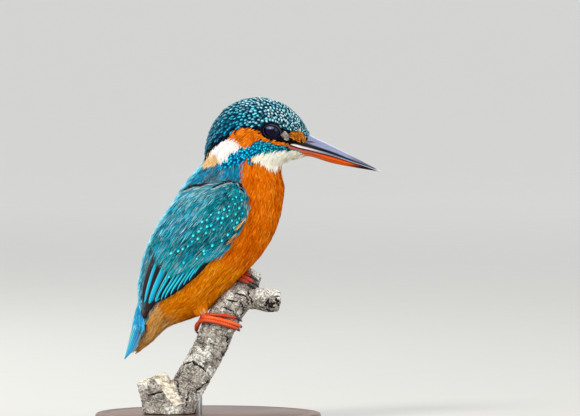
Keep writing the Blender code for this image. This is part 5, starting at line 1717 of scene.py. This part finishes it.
thighs, rng = Coat(), np.random.default_rng(51)
for label, (share, toes) in FEET.items():
    centre, along, radius = limb_at(share)
    across = along.cross(Vector((0, 0, 1))).normalized()
    up = across.cross(along)

    def on_limb(degrees, lift, shift):
        turn = math.radians(degrees)
        at, _, girth = limb_at(share + shift / LIMB_LENGTH)
        sideways = across * math.sin(turn) * (girth * LIMB_DEPTH + lift)
        return at + up * math.cos(turn) * (girth + lift) + sideways

    pad = on_limb(PAD_TURN[label], TOE_CLEARANCE + 1.3, -0.6)
    top = pad + Vector(TARSUS_TILT[label]).normalized() * TARSUS_LENGTH
    # Thigh feathers hide the leg: soft strands on a cone from inside the belly down to just above the toes.
    hip = top + Vector((-4.0, math.copysign(3.0, -pad.y), 4.5))
    low_end = pad.lerp(top, 0.22) + Vector((-1.4, 0.3, 0.0))
    cone = np.array([
        [hip.lerp(low_end, t) + Vector((1.5 * math.cos(turn), math.sin(turn), 0.0)) * (6.0 - 3.9 * t**0.8)
         for turn in np.linspace(0, 2 * math.pi, 25)] for t in np.linspace(0, 1, 12)])
    thigh = Form(cone, cone.mean(1, keepdims=True))
    a, b = strewn(thigh, 0.75, lambda a, b, place: a < 0.8, 52, True)
    v = strands(
        thighs, a, b, rng, 6, form=thigh, lie=1, wraps=True, length=rng.uniform(3.0, 4.6, len(a)),
        width=0.36, fan=0.14, root=-0.4, lift=rng.uniform(-0.2, 0.3, len(a)))
    streaked(thighs, rng, 6, THIGH_TONES, v, by_chance(0.6 * eased(a, 0.5, 0.9), rng))
    rows = [(*top.lerp(pad, t), TARSUS_RADIUS * 0.92 + 0.42 * t**3) for t in np.linspace(0, 1, 24)]
    parts = [(*tube(rows, 18, 0.05), 0.2)]
    for toe, (start, end, low, high, thick) in toes.items():
        rows = []
        for t in np.linspace(-0.06, 1, 60):
            swell = thick * (1 + 0.10 * math.cos(t * 3 * math.pi)) * (1 - 2.2 * max(0.0, t - 0.93))
            place = on_limb(start + (end - start) * t, TOE_CLEARANCE + 0.15 + swell, low + (high - low) * t)
            rows.append((*place, swell))
        parts.append((*tube(rows, 18, 0.055), TOE_PAINTED_LIGHT[toe]))
        sign = math.copysign(CLAW_TURN[label], end - start)
        rows = []
        for t in np.linspace(-0.12, 1, 30):
            lift = TOE_CLEARANCE + 0.3 + 0.8 * math.sin(math.pi * (0.3 + 0.7 * t))
            lift += 0.25 * (1 - max(t, 0.0))
            place = on_limb(end + sign * t, lift, high + (high - low) * 0.12 * t)
            rows.append((*place, 0.68 * (1 - max(t, 0.0)) ** 0.6 + 0.1))
        claw = joined(f"claw_{toe}_{label}_horn", [(*tube(rows, 14), 0.0)],
                      lambda points, seam_and_shade, share: np.tile(paint("101012"), (len(points), 1)))
        dressed(claw, claw_horn, "claw_horn", f"claw_{toe}_{label}")
    leg = joined(f"leg_{label}_skin", parts, lambda points, seam_and_shade, share: foot_colours(label, seam_and_shade, share))
    dressed(leg, foot_skin, "foot_skin", f"leg_{label}")
thighs.piece("thigh_feathers", soft_orange, "body_plumage")

# --- Studio ---------------------------------------------------------------------------------------
# A plain pale floor under soft light: a broad key high on the left, a fill from the right, and a
# wide light above and behind that picks out the back. The camera looks from the bird's right side.

clear_selection()
bpy.ops.mesh.primitive_plane_add(size=360, location=(0, 0, 0))
floor = added("floor")
pale = Finish("pale_floor", roughness=0.9)
fleck = pale.noise(30.0, 3.0, 0.5)
from_bird = pale.node("ShaderNodeVectorMath", {"operation": "LENGTH"}, [pale.place()], 1)
# The floor's colour is painted against the lamps: darker near the bird, where their light pools, and paler
# far off, so that it looks evenly bright.
even = pale.blend(from_bird.eased(0.2, 3.2), paint("bcbab5"), paint("e6e4df"))
pale.set("Base Color", pale.blend(0.06 * fleck, even, paint("8a8884")))
pale.set("Roughness", 0.85 + 0.1 * fleck)
floor.data.materials.append(pale.material)


LIT_POINT = Vector((0, 0, 0.09))


def soft_light(name, at, size, power, colour):
    light = bpy.data.lights.new(name, "AREA")
    light.shape, light.size, light.energy, light.color = "DISK", size, power, colour
    made = placed(name, light)
    made.location = at
    made.rotation_euler = (LIT_POINT - Vector(at)).to_track_quat("-Z", "Y").to_euler()


soft_light("key", (-0.55, -0.95, 1.0), 0.34, 12.5, (1.0, 0.98, 0.95))
soft_light("fill", (1.1, -0.9, 0.45), 0.9, 8.5, (0.95, 0.98, 1.0))
soft_light("rim", (-0.9, 0.55, 0.9), 0.6, 13.0, (0.97, 0.99, 1.0))
world = bpy.data.worlds.new("studio")
bpy.context.scene.world = world
world.use_nodes = True
world.node_tree.nodes["Background"].inputs["Color"].default_value = (0.86, 0.88, 0.9, 1.0)
world.node_tree.nodes["Background"].inputs["Strength"].default_value = 0.96
bpy.context.scene.view_settings.view_transform = "Standard"

VIEW_CENTRE = Vector((37.7, 0.0, 101.2)) * MM
VIEW_WIDTH = 266.8 * MM
VIEW_ELEVATION = math.radians(2)
VIEW_DISTANCE = 3.0
camera_lens = bpy.data.cameras.new("camera")
camera_lens.sensor_width = 36.0
camera_lens.lens = camera_lens.sensor_width * VIEW_DISTANCE / VIEW_WIDTH
camera_lens.clip_end = 400.0
camera = placed("camera", camera_lens)
backward = Vector((0.0, -math.cos(VIEW_ELEVATION), math.sin(VIEW_ELEVATION)))
camera.location = VIEW_CENTRE + backward * VIEW_DISTANCE
camera.rotation_euler = (-backward).to_track_quat("-Z", "Y").to_euler()
bpy.context.scene.camera = camera
